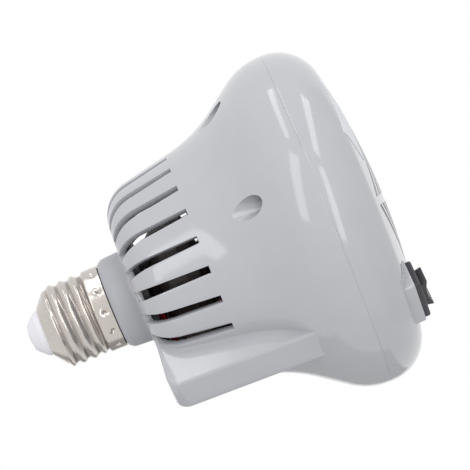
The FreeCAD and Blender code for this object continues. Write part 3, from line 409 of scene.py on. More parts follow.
def combine(piece: Piece, tool: Piece, how: Join) -> Piece:
    """Combine a piece with a tool, which is used up.

    Args:
        piece: The piece to change.
        tool: The other solid.
        how: Whether the tool is added, cut away or shared.

    Returns:
        The piece.
    """
    modify(piece, "BOOLEAN", operation=how.value, object=tool, solver="EXACT")
    bpy.data.objects.remove(tool)
    return piece


def joined(name: str, pieces: Iterable[Piece]) -> Piece:
    """Join several pieces into one object.

    Args:
        name: The new object's name.
        pieces: The pieces, which are used up.

    Returns:
        The joined piece.
    """
    pieces = list(pieces)
    activate(pieces[0])
    for piece in pieces:
        piece.select_set(True)
    bpy.ops.object.join()
    return finished(name)


def copied(piece: Piece, matrix: Matrix) -> Piece:
    """Copy a piece with a mesh of its own and move the copy's mesh.

    Args:
        piece: The piece to copy.
        matrix: Where the copy's mesh goes.

    Returns:
        The copy.
    """
    twin = piece.copy()
    twin.data = piece.data.copy()
    twin.data.transform(matrix)
    bpy.context.scene.collection.objects.link(twin)
    return twin


def around(piece: Piece, angles: Iterable[float]) -> Piece:
    """Copy a piece about the lamp's axis and join the copies, using the piece up.

    Args:
        piece: The piece, drawn at an angle of 0.
        angles: Where its copies go.

    Returns:
        The joined copies.
    """
    twins = [copied(piece, Matrix.Rotation(math.radians(a), 4, "Z")) for a in angles]
    name = piece.name
    bpy.data.objects.remove(piece)
    return joined(name, twins)


def smooth(piece: Piece, degrees: float = 32.0) -> Piece:
    """Shade a piece smooth, apart from its sharp edges.

    Args:
        piece: The piece.
        degrees: Edges sharper than this stay sharp.

    Returns:
        The piece.
    """
    activate(piece)
    bpy.ops.object.shade_smooth_by_angle(angle=math.radians(degrees))
    return piece


def soften(piece: Piece, width: float, steps: int = 2, degrees: float = 38.0) -> Piece:
    """Round a piece's sharp edges as a mould or a die leaves them.

    Args:
        piece: The piece.
        width: The rounding's width.
        steps: Segments across it.
        degrees: Edges sharper than this are rounded.

    Returns:
        The piece, shaded smooth.
    """
    modify(piece, "BEVEL", width=width * MM, segments=steps, limit_method="ANGLE",
           angle_limit=math.radians(degrees), use_clamp_overlap=True)
    return smooth(piece)


def rounded(outline: Sequence[tuple], step: float = 1.2) -> list:
    """Replace the corners of an outline that have a radius by arcs.

    Args:
        outline: Points (across, up) or (across, up, radius).
        step: Longest step along an arc.

    Returns:
        Plain points (across, up).
    """
    points = [Vector(p[:2]) for p in outline]
    result = []
    for i, corner in enumerate(points):
        if len(outline[i]) < 3:
            result.append(tuple(corner))
            continue
        radius = outline[i][2]
        into = (corner - points[i - 1]).normalized()
        out = (points[i + 1] - corner).normalized()
        turn = math.atan2(into.x * out.y - into.y * out.x, into.dot(out))
        start = corner - into * radius * math.tan(abs(turn) / 2)
        centre = start + Vector((-into.y, into.x)) * math.copysign(radius, turn)
        arm = start - centre
        count = max(3, math.ceil(radius * abs(turn) / step))
        for k in range(count + 1):
            sine, cosine = math.sin(turn * k / count), math.cos(turn * k / count)
            result.append((centre.x + arm.x * cosine - arm.y * sine,
                           centre.y + arm.x * sine + arm.y * cosine))
    return result


def divided(points: Sequence[tuple], step: float) -> list:
    """Divide an outline's straight runs, so that no step is longer than a limit.

    Args:
        points: The outline.
        step: The longest step.

    Returns:
        The outline with the added points.
    """
    result = [points[0]]
    for a, b in zip(points, points[1:]):
        count = max(1, math.ceil(math.dist(a, b) / step))
        for k in range(1, count + 1):
            result.append(tuple(p + (q - p) * k / count for p, q in zip(a, b)))
    return result


def with_row(points: Sequence[tuple], axis: int, value: float) -> list:
    """Add a point where an outline first passes a value.

    Args:
        points: The outline.
        axis: 0 for the distance across, 1 for the height.
        value: The value to pass.

    Returns:
        The outline with a point exactly there.
    """
    for i, (a, b) in enumerate(zip(points, points[1:]), start=1):
        if (a[axis] - value) * (b[axis] - value) < 0:
            share = (value - a[axis]) / (b[axis] - a[axis])
            middle = tuple(p + (q - p) * share for p, q in zip(a, b))
            return [*points[:i], middle, *points[i:]]
    return list(points)


def drawn_line(name: str, points: Sequence[tuple]) -> Piece:
    """Draw an outline in the XZ plane by extruding one vertex from point to point.

    Args:
        name: The object's name.
        points: (across, up) in millimetres.

    Returns:
        An object whose mesh is the open line.
    """
    deselect()
    bpy.ops.mesh.primitive_plane_add(size=MM)
    bpy.ops.object.mode_set(mode="EDIT")
    bpy.ops.mesh.select_mode(type="VERT")
    bpy.ops.mesh.select_all(action="SELECT")
    bpy.ops.mesh.merge(type="CENTER")
    bpy.ops.transform.translate(value=Vector((points[0][0], 0, points[0][1])) * MM)
    for a, b in zip(points, points[1:]):
        step = Vector((b[0] - a[0], 0, b[1] - a[1])) * MM
        bpy.ops.mesh.extrude_region_move(TRANSFORM_OT_translate={"value": step})
    leave_edit()
    return finished(name)


def spun(name: str, points: Sequence[tuple], steps: int = 96) -> Piece:
    """Spin an outline about the lamp's axis.

    Args:
        name: The object's name.
        points: (radius, height) in millimetres.
        steps: Steps round the axis.

    Returns:
        The surface of revolution, with its seam and poles closed.
    """
    piece = drawn_line(name, points)
    edit_all(piece)
    bpy.ops.mesh.spin(steps=steps, angle=FULL_TURN, center=(0, 0, 0), axis=(0, 0, 1))
    leave_edit()
    return face_out(piece)


def prism(name: str, points: Sequence[tuple], width: float, y: float) -> Piece:
    """Extrude a closed outline of the XZ plane along Y.

    Args:
        name: The object's name.
        points: (x, z) corners in millimetres.
        width: The length along Y.
        y: The middle along Y.

    Returns:
        The closed solid.
    """
    piece = drawn_line(name, points)
    edit_all(piece)
    bpy.ops.mesh.edge_face_add()
    bpy.ops.transform.translate(value=(0, (y - width / 2) * MM, 0))
    bpy.ops.mesh.extrude_region_move(TRANSFORM_OT_translate={"value": (0, width * MM, 0)})
    leave_edit()
    return face_out(piece)


def block(name: str, size: Sequence[float], centre: Sequence[float]) -> Piece:
    """Add a block as a start for cuts and rounding.

    Args:
        name: The object's name.
        size: Its three lengths.
        centre: Its middle.

    Returns:
        The block.
    """
    deselect()
    bpy.ops.mesh.primitive_cube_add(size=1, location=Vector(centre) * MM,
                                    scale=Vector(size) * MM)
    return finished(name)


def rods(name: str, radius: float, top: float, foot: float, ring: float,
         angles: Iterable[float], sides: int = 48) -> Piece:
    """Add equal rods along Z in a ring about the lamp's axis.

    Args:
        name: The object's name.
        radius: The radius of a rod.
        top: The height of its upper end.
        foot: The height of its lower end.
        ring: Its distance from the lamp's axis.
        angles: Where the rods stand.
        sides: The number of sides of a rod.

    Returns:
        The joined rods.
    """
    deselect()
    bpy.ops.mesh.primitive_cylinder_add(vertices=sides, radius=radius * MM,
                                        depth=(top - foot) * MM,
                                        location=Vector((ring, 0, (top + foot) / 2)) * MM)
    return around(finished(name), angles)


def round_edges(piece: Piece, test: Callable, width: float, steps: int = 4) -> None:
    """Round some edges of a piece.

    Args:
        piece: The piece.
        test: Takes an edge's two corners in millimetres and says whether it is rounded.
        width: The rounding's width.
        steps: Segments across it.
    """
    pick(piece, "EDGE", test)
    bpy.ops.mesh.bevel(offset=width * MM, segments=steps, affect="EDGES")
    leave_edit()


def stand_in(piece: Piece, node: str) -> None:
    """Dress a modelled piece and put it in the place of its CAD node.

    Args:
        piece: The finished piece.
        node: The node that it stands for.
    """
    wear(piece, NODE_FINISHES[node])
    record = frame["record"]
    body = next(b for b, nodes in record["behaviour"]["bodies"].items() if node in nodes)
    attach(piece, body)
    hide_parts(node)
    log.info("%s stands for %s with %d faces", piece.name, node, len(piece.data.polygons))


@dataclass
class ScrewCap:
    """The rolled sheet shell of the cap, with its thread and its punched dimples."""

    lip_radius: float = 8.05
    lip_edge_radius: float = 7.35
    lip_height: float = -5.2
    lip_round: float = 0.2
    cone_height: float = -8.6
    cone_round: float = 2.0
    root_radius: float = 12.1
    crest_radius: float = 13.05
    pitch: float = 3.629
    first_crest: float = -12.07
    first_crest_angle: float = -43.5
    thread_top: float = -8.4
    thread_bottom: float = -21.0
    thread_fade: float = 1.2
    skirt_height: float = -21.3
    skirt_step: float = 0.6
    skirt_round: float = 0.4
    end_height: float = -26.9
    wall: float = 0.5
    arc_step: float = 0.25
    row: float = 0.24
    columns: int = 240
    dimple_count: int = 12
    dimple_angle: float = -48.0
    dimple_height: float = -24.9
    dimple_radius: float = 1.5
    dimple_depth: float = 0.45
    dimple_power: float = 1.5
    punch_radius: float = 0.5
    punch_depth: float = 0.5

    def build(self) -> None:
        """Build the shell and put it in its node's place."""
        outline = [
            (self.lip_edge_radius, self.lip_height),
            (self.lip_radius, self.lip_height, self.lip_round),
            (self.root_radius, self.cone_height, self.cone_round),
            (self.root_radius, self.skirt_height, self.skirt_round),
            (self.crest_radius, self.skirt_height - self.skirt_step, self.skirt_round),
            (self.crest_radius, self.end_height),
        ]
        line = divided(rounded(outline, self.arc_step), self.row)
        piece = spun("screw_shell_sheet", line, self.columns)
        for vertex in piece.data.vertices:
            x, y, z = vertex.co / MM
            radius = math.hypot(x, y)
            grown = radius + self.thread(math.atan2(y, x), z) - self.dimple(x, y, z)
            vertex.co.x *= grown / radius
            vertex.co.y *= grown / radius
        face_away(piece)
        modify(piece, "SOLIDIFY", thickness=self.wall * MM, offset=-1.0, use_even_offset=True)
        stand_in(smooth(piece, CREASE), "screw_shell")

    def thread(self, angle: float, z: float) -> float:
        """How far the rolled thread stands out.

        Args:
            angle: The place about the axis, in radians.
            z: The height.

        Returns:
            The distance beyond the root.
        """
        climb = (angle - math.radians(self.first_crest_angle)) / FULL_TURN
        phase = (z - self.first_crest) / self.pitch - climb
        wave = (1 + math.cos(FULL_TURN * phase)) / 2
        fade_in = clamped((self.thread_top - z) / self.thread_fade)
        fade_out = clamped((z - self.thread_bottom) / self.thread_fade)
        return (self.crest_radius - self.root_radius) * wave * fade_in * fade_out

    def dimple(self, x: float, y: float, z: float) -> float:
        """How deep the nearest punched dimple is at a place on the skirt.

        Args:
            x: The place along X.
            y: The place along Y.
            z: The height.

        Returns:
            The depth.
        """
        step = 360 / self.dimple_count
        turn = (math.degrees(math.atan2(y, x)) - self.dimple_angle) / step
        across = math.radians((turn - round(turn)) * step) * self.crest_radius
        away = math.hypot(across, z - self.dimple_height)
        bowl = max(0.0, 1 - (away / self.dimple_radius) ** 2) ** self.dimple_power
        punch = max(0.0, 1 - (away / self.punch_radius) ** 2)
        return self.dimple_depth * bowl + self.punch_depth * punch


@dataclass
class CaseSizes:
    """What the case's two mouldings and its switch share."""

    wall: float = 2.2
    rim_radius: float = 53.6
    parting: float = -97.4
    screw_ring: float = 43.7
    screw_angles: tuple = (-28.5, 28.5, 151.5, 208.5)
    screw_seat: float = -91.5
    screw_hole: float = 1.55
    switch_y: float = -40.8
    switch_face: float = -113.3


@dataclass
class RearHousing(CaseSizes):
    """Neck, collar, slotted drum, bell, pod and screw wells, in one moulding."""

    spigot_radius: float = 11.5
    spigot_top: float = -9.2
    collar_top: float = -27.3
    collar_foot_radius: float = 13.1
    collar_radius: float = 14.7
    collar_lean: float = 0.4
    collar_lip: float = 1.5
    collar_round: float = 2.5
    rear_face: float = -35.4
    turn_radius: float = 23.0
    slot_start_radius: float = 24.0
    shoulder_radius: float = 31.6
    shoulder_round: float = 11.4
    waist_radius: float = 36.5
    slot_end: float = -59.4
    waist: float = -59.7
    flare_radius: float = 38.6
    flare: float = -69.7
    flare_round: float = 44.0
    rim_corner: float = -90.3
    rim_round: float = 21.0
    slot_count: int = 24
    columns_per_slot: int = 8
    arc_step: float = 1.3
    row: float = 1.7
    slot_rear_width: float = 3.2
    slot_front_width: float = 2.25
    slot_fade: float = 12.0
    pod_angle: float = -90.0
    pod_width: float = 11.6
    pod_wall: float = 1.8
    pod_root: float = -19.6
    pod_rear_reach: float = -45.3
    pod_front_reach: float = -46.9
    pod_rear: float = -36.2
    pod_front: float = -82.5
    pod_corner: float = 4.2
    pod_lean: float = 1.2
    pod_edge: float = 0.9
    pod_sink: float = 1.4
    channel_floor: float = 2.0
    well_radius: float = 3.2
    well_wall: float = 1.5
    tube_sink: float = 0.8
    well_floor: float = -88.0
    edge_round: float = 0.25

    def build(self) -> None:
        """Build the moulding and put it in its node's place."""
        piece = self.shell()
        combine(piece, self.pod(), Join.ADD)
        combine(piece, self.channel(), Join.CUT)
        combine(piece, self.well_tubes(), Join.ADD)
        combine(piece, self.well_bores(), Join.CUT)
        stand_in(smooth(piece, FINE_CREASE), "rear_housing")

    def outline(self, inset: float = 0.0) -> list:
        """The housing's outer line, or one that lies deeper in its wall.

        Args:
            inset: How much deeper.

        Returns:
            The line from the collar's foot to the rim.
        """
        face = self.rear_face - inset
        return [
            (self.collar_radius - inset, face),
            (self.shoulder_radius - inset, face, self.shoulder_round - inset),
            (self.waist_radius - inset, self.waist),
            (self.flare_radius - inset, self.flare, self.flare_round),
            (self.rim_radius - inset, self.rim_corner, self.rim_round),
            (self.rim_radius - inset, self.parting),
        ]

    def core(self, inset: float) -> Piece:
        """A closed solid whose outside lies as deep as the inset in the housing's wall."""
        line = rounded(self.outline(inset))
        return spun("core", [(0, line[0][1]), *line, (0, self.parting)])

    def shell(self) -> Piece:
        """The neck, drum and bell as one wall with its cooling slots.

        Returns:
            The closed wall with softened edges.
        """
        neck = [
            (self.spigot_radius, self.spigot_top), (self.spigot_radius, self.collar_top),
            (self.collar_foot_radius, self.collar_top),
            (self.collar_radius - self.collar_lean, self.collar_top - self.collar_lip,
             self.collar_round),
        ]
        line = divided(rounded(neck + self.outline(), self.arc_step), self.row)
        line = with_row(line, 0, self.slot_start_radius)
        line = with_row(line, 1, self.slot_end)
        piece = spun("rear_housing_moulding", line, self.slot_count * self.columns_per_slot)
        self.line_up(piece)
        pick(piece, "FACE", self.in_slot)
        bpy.ops.mesh.delete(type="FACE")
        leave_edit()
        face_away(piece)
        modify(piece, "SOLIDIFY", thickness=self.wall * MM, offset=-1.0, use_even_offset=True)
        return soften(piece, self.edge_round, degrees=CREASE)

    def half_angle(self, radius: float, z: float) -> float:
        """Half the angle that a slot takes at a place on the drum.

        Args:
            radius: The distance from the lamp's axis.
            z: The height.

        Returns:
            The half angle.
        """
        share = clamped((self.rear_face - z) / (self.rear_face - self.slot_end))
        width = self.slot_rear_width + (self.slot_front_width - self.slot_rear_width) * share
        return math.degrees(math.asin(width / 2 / radius))

    def line_up(self, piece: Piece) -> None:
        """Turn the columns beside each slot onto the slot's edges.

        Args:
            piece: The spun surface.
        """
        step = 360 / self.slot_count
        column = step / self.columns_per_slot
        for vertex in piece.data.vertices:
            x, y, z = vertex.co / MM
            radius = math.hypot(x, y)
            if radius < self.turn_radius:
                continue
            angle = math.degrees(math.atan2(y, x))
            middle = round(angle / step) * step
            offset = angle - middle
            below = clamped((self.slot_end - z) / self.slot_fade)
            edge = self.half_angle(radius, z)
            edge += (column - edge) * below
            size = abs(offset)
            if round(size / column) <= 1:
                moved = size * edge / column
            else:
                moved = edge + (size - column) * (step / 2 - edge) / (step / 2 - column)
            turned = math.radians(middle + math.copysign(moved, offset))
            vertex.co.x = radius * math.cos(turned) * MM
            vertex.co.y = radius * math.sin(turned) * MM

    def in_slot(self, face: bpy.types.MeshPolygon) -> bool:
        """Find out whether a face lies in an open slot; there is none behind the pod.

        Args:
            face: A face of the spun surface.

        Returns:
            True if it is cut away.
        """
        x, y, z = face.center / MM
        step = 360 / self.slot_count
        radius = math.hypot(x, y)
        angle = math.degrees(math.atan2(y, x))
        offset = abs(angle - round(angle / step) * step)
        from_pod = abs((angle - self.pod_angle + 180) % 360 - 180)
        if radius < self.slot_start_radius or z < self.slot_end or from_pod < step / 2:
            return False
        return offset < self.half_angle(radius, z)

    def pod(self) -> Piece:
        """The box for the wires, rounded along its outer edges and cut to the drum.

        Returns:
            The closed solid.
        """
        half = self.pod_width / 2
        middle_y = (self.pod_root + self.pod_rear_reach) / 2
        middle_z = (self.pod_rear + self.pod_front) / 2
        piece = block("pod", (self.pod_width, self.pod_root - self.pod_rear_reach,
                              self.pod_rear - self.pod_front), (0, middle_y, middle_z))
        for vertex in piece.data.vertices:
            if vertex.co.y > middle_y * MM:
                continue
            if vertex.co.z < middle_z * MM:
                vertex.co.y = self.pod_front_reach * MM
            else:
                vertex.co.z += self.pod_lean * MM

        def outer_rear(a: Vector, b: Vector) -> bool:
            """Whether an edge is the one between the pod's rear and its outer side."""
            return max(a.y, b.y) < middle_y and min(a.z, b.z) > middle_z

        def cheek_edge(a: Vector, b: Vector) -> bool:
            """Whether an edge runs along the pod's rear or outer side on one cheek."""
            along = abs(a.x - b.x) < NEAR and abs(abs(a.x) - half) < NEAR
            return along and (max(a.y, b.y) < middle_y or min(a.z, b.z) > middle_z)

        round_edges(piece, outer_rear, self.pod_corner, steps=8)
        round_edges(piece, cheek_edge, self.pod_edge)
        return combine(face_out(piece), self.core(self.pod_sink), Join.CUT)

    def channel(self) -> Piece:
        """The room for the wires inside the pod.

        Returns:
            The solid to cut away.
        """
        top, foot = self.pod_rear - self.pod_wall, self.pod_front + self.channel_floor
        reach = self.pod_rear_reach + self.pod_wall
        return block("channel", (self.pod_width - self.pod_wall * 2, self.pod_root - reach,
                                 top - foot), (0, (self.pod_root + reach) / 2, (top + foot) / 2))

    def well_tubes(self) -> Piece:
        """The tubes of the screw wells, which end inside the bell's wall.

        Returns:
            The solids to add, as one object.
        """
        tubes = rods("tubes", self.well_radius + self.well_wall, self.waist, self.screw_seat,
                     self.screw_ring, self.screw_angles)
        return combine(tubes, self.core(self.tube_sink), Join.SHARE)

    def well_bores(self) -> Piece:
        """What the screw wells and their shank holes take away.

        Returns:
            The solids to cut away, as one object.
        """
        bores = rods("bore", self.well_radius, self.waist, self.well_floor, self.screw_ring,
                     self.screw_angles)
        shanks = rods("shank", self.screw_hole, self.well_floor + OVERLAP,
                      self.screw_seat - OVERLAP, self.screw_ring, self.screw_angles, HOLE_SIDES)
        return joined("bores", [bores, shanks])


@dataclass
class FrontCover(CaseSizes):
    """The dome with its square grille, the switch pedestal and the screw posts."""

    lip_radius: float = 51.0
    lip_inner: float = 49.4
    lip_top: float = -94.4
    corner: float = -109.7
    corner_round: float = 14.0
    flat_radius: float = 18.0
    apex: float = -116.3
    dome_round: float = 180.0
    inner_corner: float = -107.87
    inner_round: float = 9.6
    inner_step: float = 1.6
    row: float = 3.0
    columns: int = 160
    grille_rings: int = 5
    grille_half: float = 26.0
    grille_pitch: float = 4.8
    grille_slot: float = 2.6
    grille_rib: float = 2.6
    grille_cut: float = 12.0
    grille_middle: float = 5.0
    post_radius: float = 3.7
    post_foot: float = -109.3
    pilot_foot: float = -103.5
    boss_radius: float = 2.8
    boss_top: float = -104.0
    boss_foot: float = -112.8
    boss_reach: float = 30.8
    boss_hole: float = 1.25
    boss_hole_foot: float = -110.0
    boss_angles: tuple = (0.0, 90.0, 180.0)
    pedestal_size: tuple = (16.8, 11.8, 5.0)
    pedestal_corner: float = 1.2
    pedestal_edge: float = 0.4
    switch_hole: tuple = (13.2, 9.4, 16.0)
    edge_round: float = 0.12

    def build(self) -> None:
        """Build the cover and put it in its node's place."""
        outline = [
            (self.lip_inner, self.lip_top), (self.lip_radius, self.lip_top),
            (self.lip_radius, self.parting), (self.rim_radius, self.parting),
            (self.rim_radius, self.corner, self.corner_round),
            (self.flat_radius, self.apex, self.dome_round), (0, self.apex),
            (0, self.apex + self.wall),
            (self.flat_radius, self.apex + self.wall, self.dome_round),
            (self.rim_radius - self.wall, self.inner_corner, self.inner_round),
            (self.rim_radius - self.wall, self.parting - self.inner_step),
            (self.lip_inner, self.parting), (self.lip_inner, self.lip_top),
        ]
        line = divided(rounded(outline), self.row)
        piece = spun("front_cover_moulding", line, self.columns)
        soften(piece, self.edge_round, degrees=CREASE)
        combine(piece, self.added(), Join.ADD)
        combine(piece, self.taken_away(), Join.CUT)
        stand_in(smooth(face_out(piece), FINE_CREASE), "front_cover")

    def added(self) -> Piece:
        """The posts, the heater's bosses and the switch pedestal.

        Returns:
            The solids to add, as one object.
        """
        posts = rods("posts", self.post_radius, self.screw_seat, self.post_foot,
                     self.screw_ring, self.screw_angles)
        bosses = rods("bosses", self.boss_radius, self.boss_top, self.boss_foot,
                      self.boss_reach, self.boss_angles)
        height = self.pedestal_size[2]
        pedestal = block("pedestal", self.pedestal_size,
                         (0, self.switch_y, self.switch_face + height / 2))
        round_edges(pedestal, upright, self.pedestal_corner)
        face = self.switch_face + NEAR
        round_edges(pedestal, lambda a, b: a.z < face and b.z < face, self.pedestal_edge,
                    steps=3)
        return joined("added", [posts, bosses, pedestal])

    def taken_away(self) -> Piece:
        """The grille's slots, the switch's hole and the screw holes.

        Returns:
            The solids to cut away, as one object.
        """
        height = self.switch_hole[2]
        hole = block("hole", self.switch_hole, (0, self.switch_y, self.apex + height / 2))
        pilots = rods("pilots", self.screw_hole, self.screw_seat + OVERLAP, self.pilot_foot,
                      self.screw_ring, self.screw_angles, HOLE_SIDES)
        boss_holes = rods("boss_holes", self.boss_hole, self.boss_top + OVERLAP,
                          self.boss_hole_foot, self.boss_reach, self.boss_angles, HOLE_SIDES)
        return joined("taken", [self.grille(), hole, pilots, boss_holes])

    def grille(self) -> Piece:
        """The slots of the square rings, mitred along the diagonal ribs.

        Returns:
            All slots as one set of solids.
        """
        mitre = self.grille_rib / math.sqrt(2)
        sides = []
        for number in range(self.grille_rings):
            half = self.grille_half - self.grille_pitch * number
            slot = block(f"slot_{number}",
                         (self.grille_slot, 2 * (half - mitre), self.grille_cut),
                         (half, 0, self.apex + self.grille_middle))
            for vertex in slot.data.vertices:
                lean = math.copysign(self.grille_slot / 2 * MM, vertex.co.x - half * MM)
                vertex.co.y += math.copysign(1, vertex.co.y) * lean
            sides.append(slot)
        return around(joined("grille", sides), (0, 90, 180, 270))


@dataclass
class RockerSwitch(CaseSizes):
    """The black switch: a bezel and body with a pocket, and the rocker in it."""

    bezel_size: tuple = (15.0, 10.5, 1.8)
    bezel_corner: float = 0.8
    bezel_edge: float = 0.6
    body_size: tuple = (13.0, 9.2, 11.0)
    body_sink: float = 0.2
    body_edge: float = 0.4
    pocket_size: tuple = (11.4, 7.1, 7.6)
    blade_slot: tuple = (0.8, 2.8, 1.5)
    blade_pitch: float = 4.6
    pivot_radius: float = 0.9
    pivot_length: float = 8.4
    edge_round: float = 0.12
    rocker_length: float = 10.6
    rocker_width: float = 6.6
    rocker_proud: float = 2.2
    rocker_dish: float = 1.0
    dish_power: float = 1.6
    dish_steps: int = 12
    shoulder: tuple = (1.0, 1.2)
    foot: tuple = (2.6, 4.2)
    rocker_edge: float = 0.35

    def build(self) -> None:
        """Build both pieces and put them in their nodes' places."""
        stand_in(self.body(), "switch_body")
        stand_in(self.rocker(), "rocker")

    def body(self) -> Piece:
        """The bezel and body with the rocker's pocket.

        Returns:
            The closed moulding.
        """
        thickness = self.bezel_size[2]
        piece = block("switch_moulding", self.bezel_size,
                      (0, self.switch_y, self.switch_face - thickness / 2))
        round_edges(piece, upright, self.bezel_corner)
        foot = self.switch_face - thickness + NEAR
        round_edges(piece, lambda a, b: a.z < foot and b.z < foot, self.bezel_edge)
        body = block("body", self.body_size,
                     (0, self.switch_y, self.switch_face + self.body_size[2] / 2 - self.body_sink))
        soften(body, self.body_edge)
        combine(piece, body, Join.ADD)
        depth = self.pocket_size[2]
        pocket = block("pocket", (*self.pocket_size[:2], depth + OVERLAP),
                       (0, self.switch_y, self.switch_face - thickness + (depth - OVERLAP) / 2))
        combine(piece, pocket, Join.CUT)
        top = self.switch_face + self.body_size[2]
        slots = [block(f"blade_slot_{n}", self.blade_slot,
                       (self.blade_pitch * n, self.switch_y, top - self.blade_slot[2] / 2))
                 for n in (-1, 0, 1)]
        combine(piece, joined("blade_slots", slots), Join.CUT)
        return soften(face_out(piece), self.edge_round, degrees=60)

    def rocker(self) -> Piece:
        """The rocker with its dished face and its two pivots.

        Returns:
            The closed moulding.
        """
        rim = self.switch_face - self.bezel_size[2]
        half = self.rocker_length / 2
        outline = []
        for k in range(self.dish_steps + 1):
            x = half * (2 * k / self.dish_steps - 1)
            dish = self.rocker_dish * (1 - abs(x / half) ** self.dish_power)
            outline.append((x, rim - self.rocker_proud + dish))
        outline += [(half - inset, rim + depth) for inset, depth in (self.shoulder, self.foot)]
        outline += [(inset - half, rim + depth) for inset, depth in (self.foot, self.shoulder)]
        piece = prism("rocker_moulding", outline, self.rocker_width, self.switch_y)
        soften(piece, self.rocker_edge, steps=3, degrees=40)
        deselect()
        bpy.ops.mesh.primitive_cylinder_add(
            vertices=32, radius=self.pivot_radius * MM, depth=self.pivot_length * MM,
            location=Vector((0, self.switch_y, self.switch_face)) * MM,
            rotation=(math.pi / 2, 0, 0))
        return smooth(combine(piece, finished("pivots"), Join.ADD), degrees=40)


@dataclass
class FanMotor:
    """The lacquered motor can, whose drawn shoulder shows behind the slots."""

    boss_top: float = -39.8
    boss_radius: float = 7.6
    boss_round: float = 3.0
    top: float = -42.6
    radius: float = 18.1
    shoulder_round: float = 7.0
    foot: float = -56.8
    foot_round: float = 1.0
    plate_radius: float = 16.5
    plate_foot: float = -57.85
    bore_radius: float = 1.05
    bore_top: float = -44.8
    rib_radius: float = 18.35
    rib_height: float = -52.0
    rib_half: float = 0.5
    arc_step: float = 0.8
    edge_round: float = 0.15

    def build(self) -> None:
        """Build the can and put it in its node's place."""
        outline = [
            (0, self.boss_top), (self.boss_radius, self.boss_top, self.boss_round),
            (self.boss_radius, self.top), (self.radius, self.top, self.shoulder_round),
            (self.radius, self.rib_height + self.rib_half), (self.rib_radius, self.rib_height),
            (self.radius, self.rib_height - self.rib_half),
            (self.radius, self.foot, self.foot_round), (self.plate_radius, self.foot),
            (self.plate_radius, self.plate_foot), (self.bore_radius, self.plate_foot),
            (self.bore_radius, self.bore_top), (0, self.bore_top),
        ]
        piece = spun("fan_motor_can", rounded(outline, self.arc_step))
        stand_in(soften(piece, self.edge_round, degrees=CREASE), "fan_motor")


@dataclass(frozen=True)
class Softbox:
    """A studio lamp, by the directions of its two ends and its height, all as angles."""

    name: str
    side_from: float
    tilt_from: float
    side_to: float
    tilt_to: float
    height: float
    radiance: float = 2.7
    distance: float = 1.0

    def hang(self, target: Vector, towards_camera: Vector, across: Vector) -> None:
        """Create the area lamp.

        Args:
            target: The point that it faces.
            towards_camera: The level direction from the target to the camera.
            across: The level direction that the side angle turns towards.
        """
        ends = []
        for side, tilt in ((self.side_from, self.tilt_from), (self.side_to, self.tilt_to)):
            turn, rise = math.radians(side), math.radians(tilt)
            level = towards_camera * math.cos(turn) + across * math.sin(turn)
            ends.append(level * math.cos(rise) + Vector((0, 0, math.sin(rise))))
        back = (ends[0] + ends[1]).normalized()
        along = (ends[1] - ends[0]).normalized()
        data = bpy.data.lights.new(self.name, "AREA")
        data.shape = "RECTANGLE"
        data.size = (ends[1] - ends[0]).length * self.distance
        data.size_y = 2 * self.distance * math.tan(math.radians(self.height) / 2)
        data.energy = AREA_LAMP_FACTOR * data.size * data.size_y * self.radiance
        lamp = bpy.data.objects.new(self.name, data)
        bpy.context.scene.collection.objects.link(lamp)
        turned = Matrix((along, back.cross(along), back)).transposed()
        place = target + (ends[0] + ends[1]) / 2 * self.distance
        lamp.matrix_world = Matrix.Translation(place) @ turned.to_4x4()


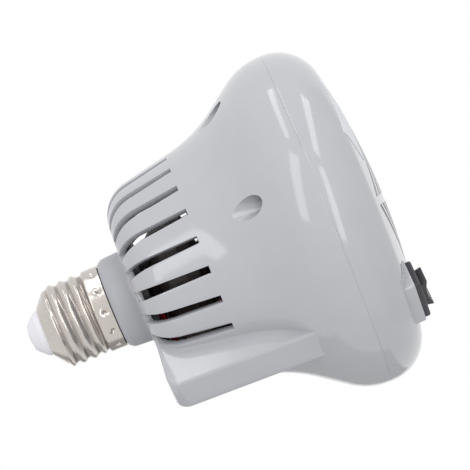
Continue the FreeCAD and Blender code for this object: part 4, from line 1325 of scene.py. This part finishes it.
@dataclass
class Studio:
    """Camera, lamps, room, floor and card, with their places and sizes in metres."""

    camera_azimuth: float = -43.5
    camera_distance: float = 0.870
    camera_height: float = -0.0704
    aim_height: float = -0.0700
    aim_across: float = -0.0058
    lens: float = 217.5
    sensor_width: float = 36.0
    clip: tuple = (0.01, 50.0)
    roll: float = -0.35
    image_up: tuple = (0.639, 0.673, -0.371)
    floor_height: float = -1.3
    floor_side: float = 3.0
    floor_hex: str = "#F4F4F4"
    card_distance: float = 0.8
    card_side: float = 0.8
    card_behind: float = 50.0
    card_hex: str = "#A8A8A8"
    sheet_thickness: float = 0.004
    paper_roughness: float = 0.9
    ambient: float = 0.90
    lit_point: tuple = (0.050, -0.020, -0.097)
    softboxes: tuple = (
        Softbox("high_side_strip", 60.5, 9.2, 105, 3.2, 5.5),
        Softbox("high_front_strip", 3, 36, 48, 11, 12, radiance=2.1),
        Softbox("low_side_strip", 43, -23, 103, -35, 9),
        Softbox("low_front_strip", -19, -7, 33, -20.5, 10),
    )

    def build(self) -> None:
        """Create the whole studio."""
        azimuth = math.radians(self.camera_azimuth)
        towards = Vector((math.cos(azimuth), math.sin(azimuth), 0))
        across = Vector((-math.sin(azimuth), math.cos(azimuth), 0))
        self.camera(towards, across)
        for softbox in self.softboxes:
            softbox.hang(Vector(self.lit_point), towards, across)
        self.floor()
        self.card(towards)
        self.world()
        bpy.context.scene.view_settings.view_transform = "Standard"
        log.info("studio is up")

    def camera(self, towards: Vector, across: Vector) -> None:
        """Create the camera at the photograph's viewing angle.

        Args:
            towards: The level direction from the lamp to the camera.
            across: The level direction square to it.
        """
        data = bpy.data.cameras.new("photo_camera")
        data.lens = self.lens
        data.sensor_width = self.sensor_width
        data.clip_start, data.clip_end = self.clip
        camera = bpy.data.objects.new("photo_camera", data)
        bpy.context.scene.collection.objects.link(camera)
        location = Vector((0, 0, self.camera_height)) + towards * self.camera_distance
        target = Vector((0, 0, self.aim_height)) - across * self.aim_across
        back = (location - target).normalized()
        turned_up = Matrix.Rotation(math.radians(self.roll), 3, back) @ Vector(self.image_up)
        right = turned_up.cross(back).normalized()
        up = back.cross(right)
        turn = Matrix((right, up, back)).transposed()
        camera.matrix_world = Matrix.Translation(location) @ turn.to_4x4()
        bpy.context.scene.camera = camera

    def floor(self) -> None:
        """Lay a pale sheet under the hanging lamp."""
        size = Vector((self.floor_side, self.floor_side, self.sheet_thickness))
        middle = Vector((0, 0, self.floor_height - self.sheet_thickness / 2))
        sheet = block("floor_sheet", size / MM, middle / MM)
        self.papered(sheet, "white_backdrop_paper", self.floor_hex)

    def card(self, towards: Vector) -> None:
        """Hold a grey card out of the picture, which the lower edges mirror.

        Args:
            towards: The level direction from the lamp to the camera.
        """
        size = Vector((self.card_side, self.card_side, self.sheet_thickness))
        card = block("backdrop_card", size / MM, (0, 0, 0))
        angle = math.radians(self.card_behind)
        down = -Vector(self.image_up).normalized()
        away = down * math.sin(angle) - towards * math.cos(angle)
        turn = away.to_track_quat("Z", "Y").to_matrix().to_4x4()
        place = Vector(self.lit_point) + away * self.card_distance
        card.data.transform(Matrix.Translation(place) @ turn)
        card.visible_camera = False
        self.papered(card, "grey_backdrop_paper", self.card_hex)

    def papered(self, sheet: Piece, name: str, colour: str) -> None:
        """Cover a part of the stage with matt paper.

        Args:
            sheet: The part of the stage.
            name: The paper's name.
            colour: Its colour as "#RRGGBB".
        """
        material = bpy.data.materials.new(name)
        material.use_nodes = True
        shader = material.node_tree.nodes["Principled BSDF"]
        shader.inputs["Base Color"].default_value = linear_colour(colour)
        shader.inputs["Roughness"].default_value = self.paper_roughness
        sheet.data.materials.append(material)

    def world(self) -> None:
        """Light the room evenly, and show white to the camera, in gloss and through glass."""
        world = bpy.data.worlds.new("studio_room")
        bpy.context.scene.world = world
        world.use_nodes = True
        tree = world.node_tree
        tree.nodes.clear()
        rays = add_node(tree, "LightPath", {}, {})
        seen = add_node(tree, "Math", {"operation": "MAXIMUM"},
                        {0: rays.outputs["Is Camera Ray"], 1: rays.outputs["Is Glossy Ray"]})
        shown = add_node(tree, "Math", {"operation": "MAXIMUM"},
                         {0: seen.outputs[0], 1: rays.outputs["Is Transmission Ray"]})
        strength = add_node(tree, "MapRange", {"To Min": self.ambient, "To Max": 1.0},
                            {"Value": shown.outputs[0]})
        light = add_node(tree, "Background", {"Color": (1, 1, 1, 1)},
                         {"Strength": strength.outputs["Result"]})
        add_node(tree, "OutputWorld", {}, {"Surface": light.outputs["Background"]})


def main() -> None:
    """Build the pieces in order."""
    Studio().build()
    for node, finish in NODE_FINISHES.items():
        wear(frame["nodes"][node], finish)
    ScrewCap().build()
    RearHousing().build()
    FrontCover().build()
    RockerSwitch().build()
    FanMotor().build()


if __name__ == "__main__":
    logging.basicConfig(level=logging.INFO)
    main()
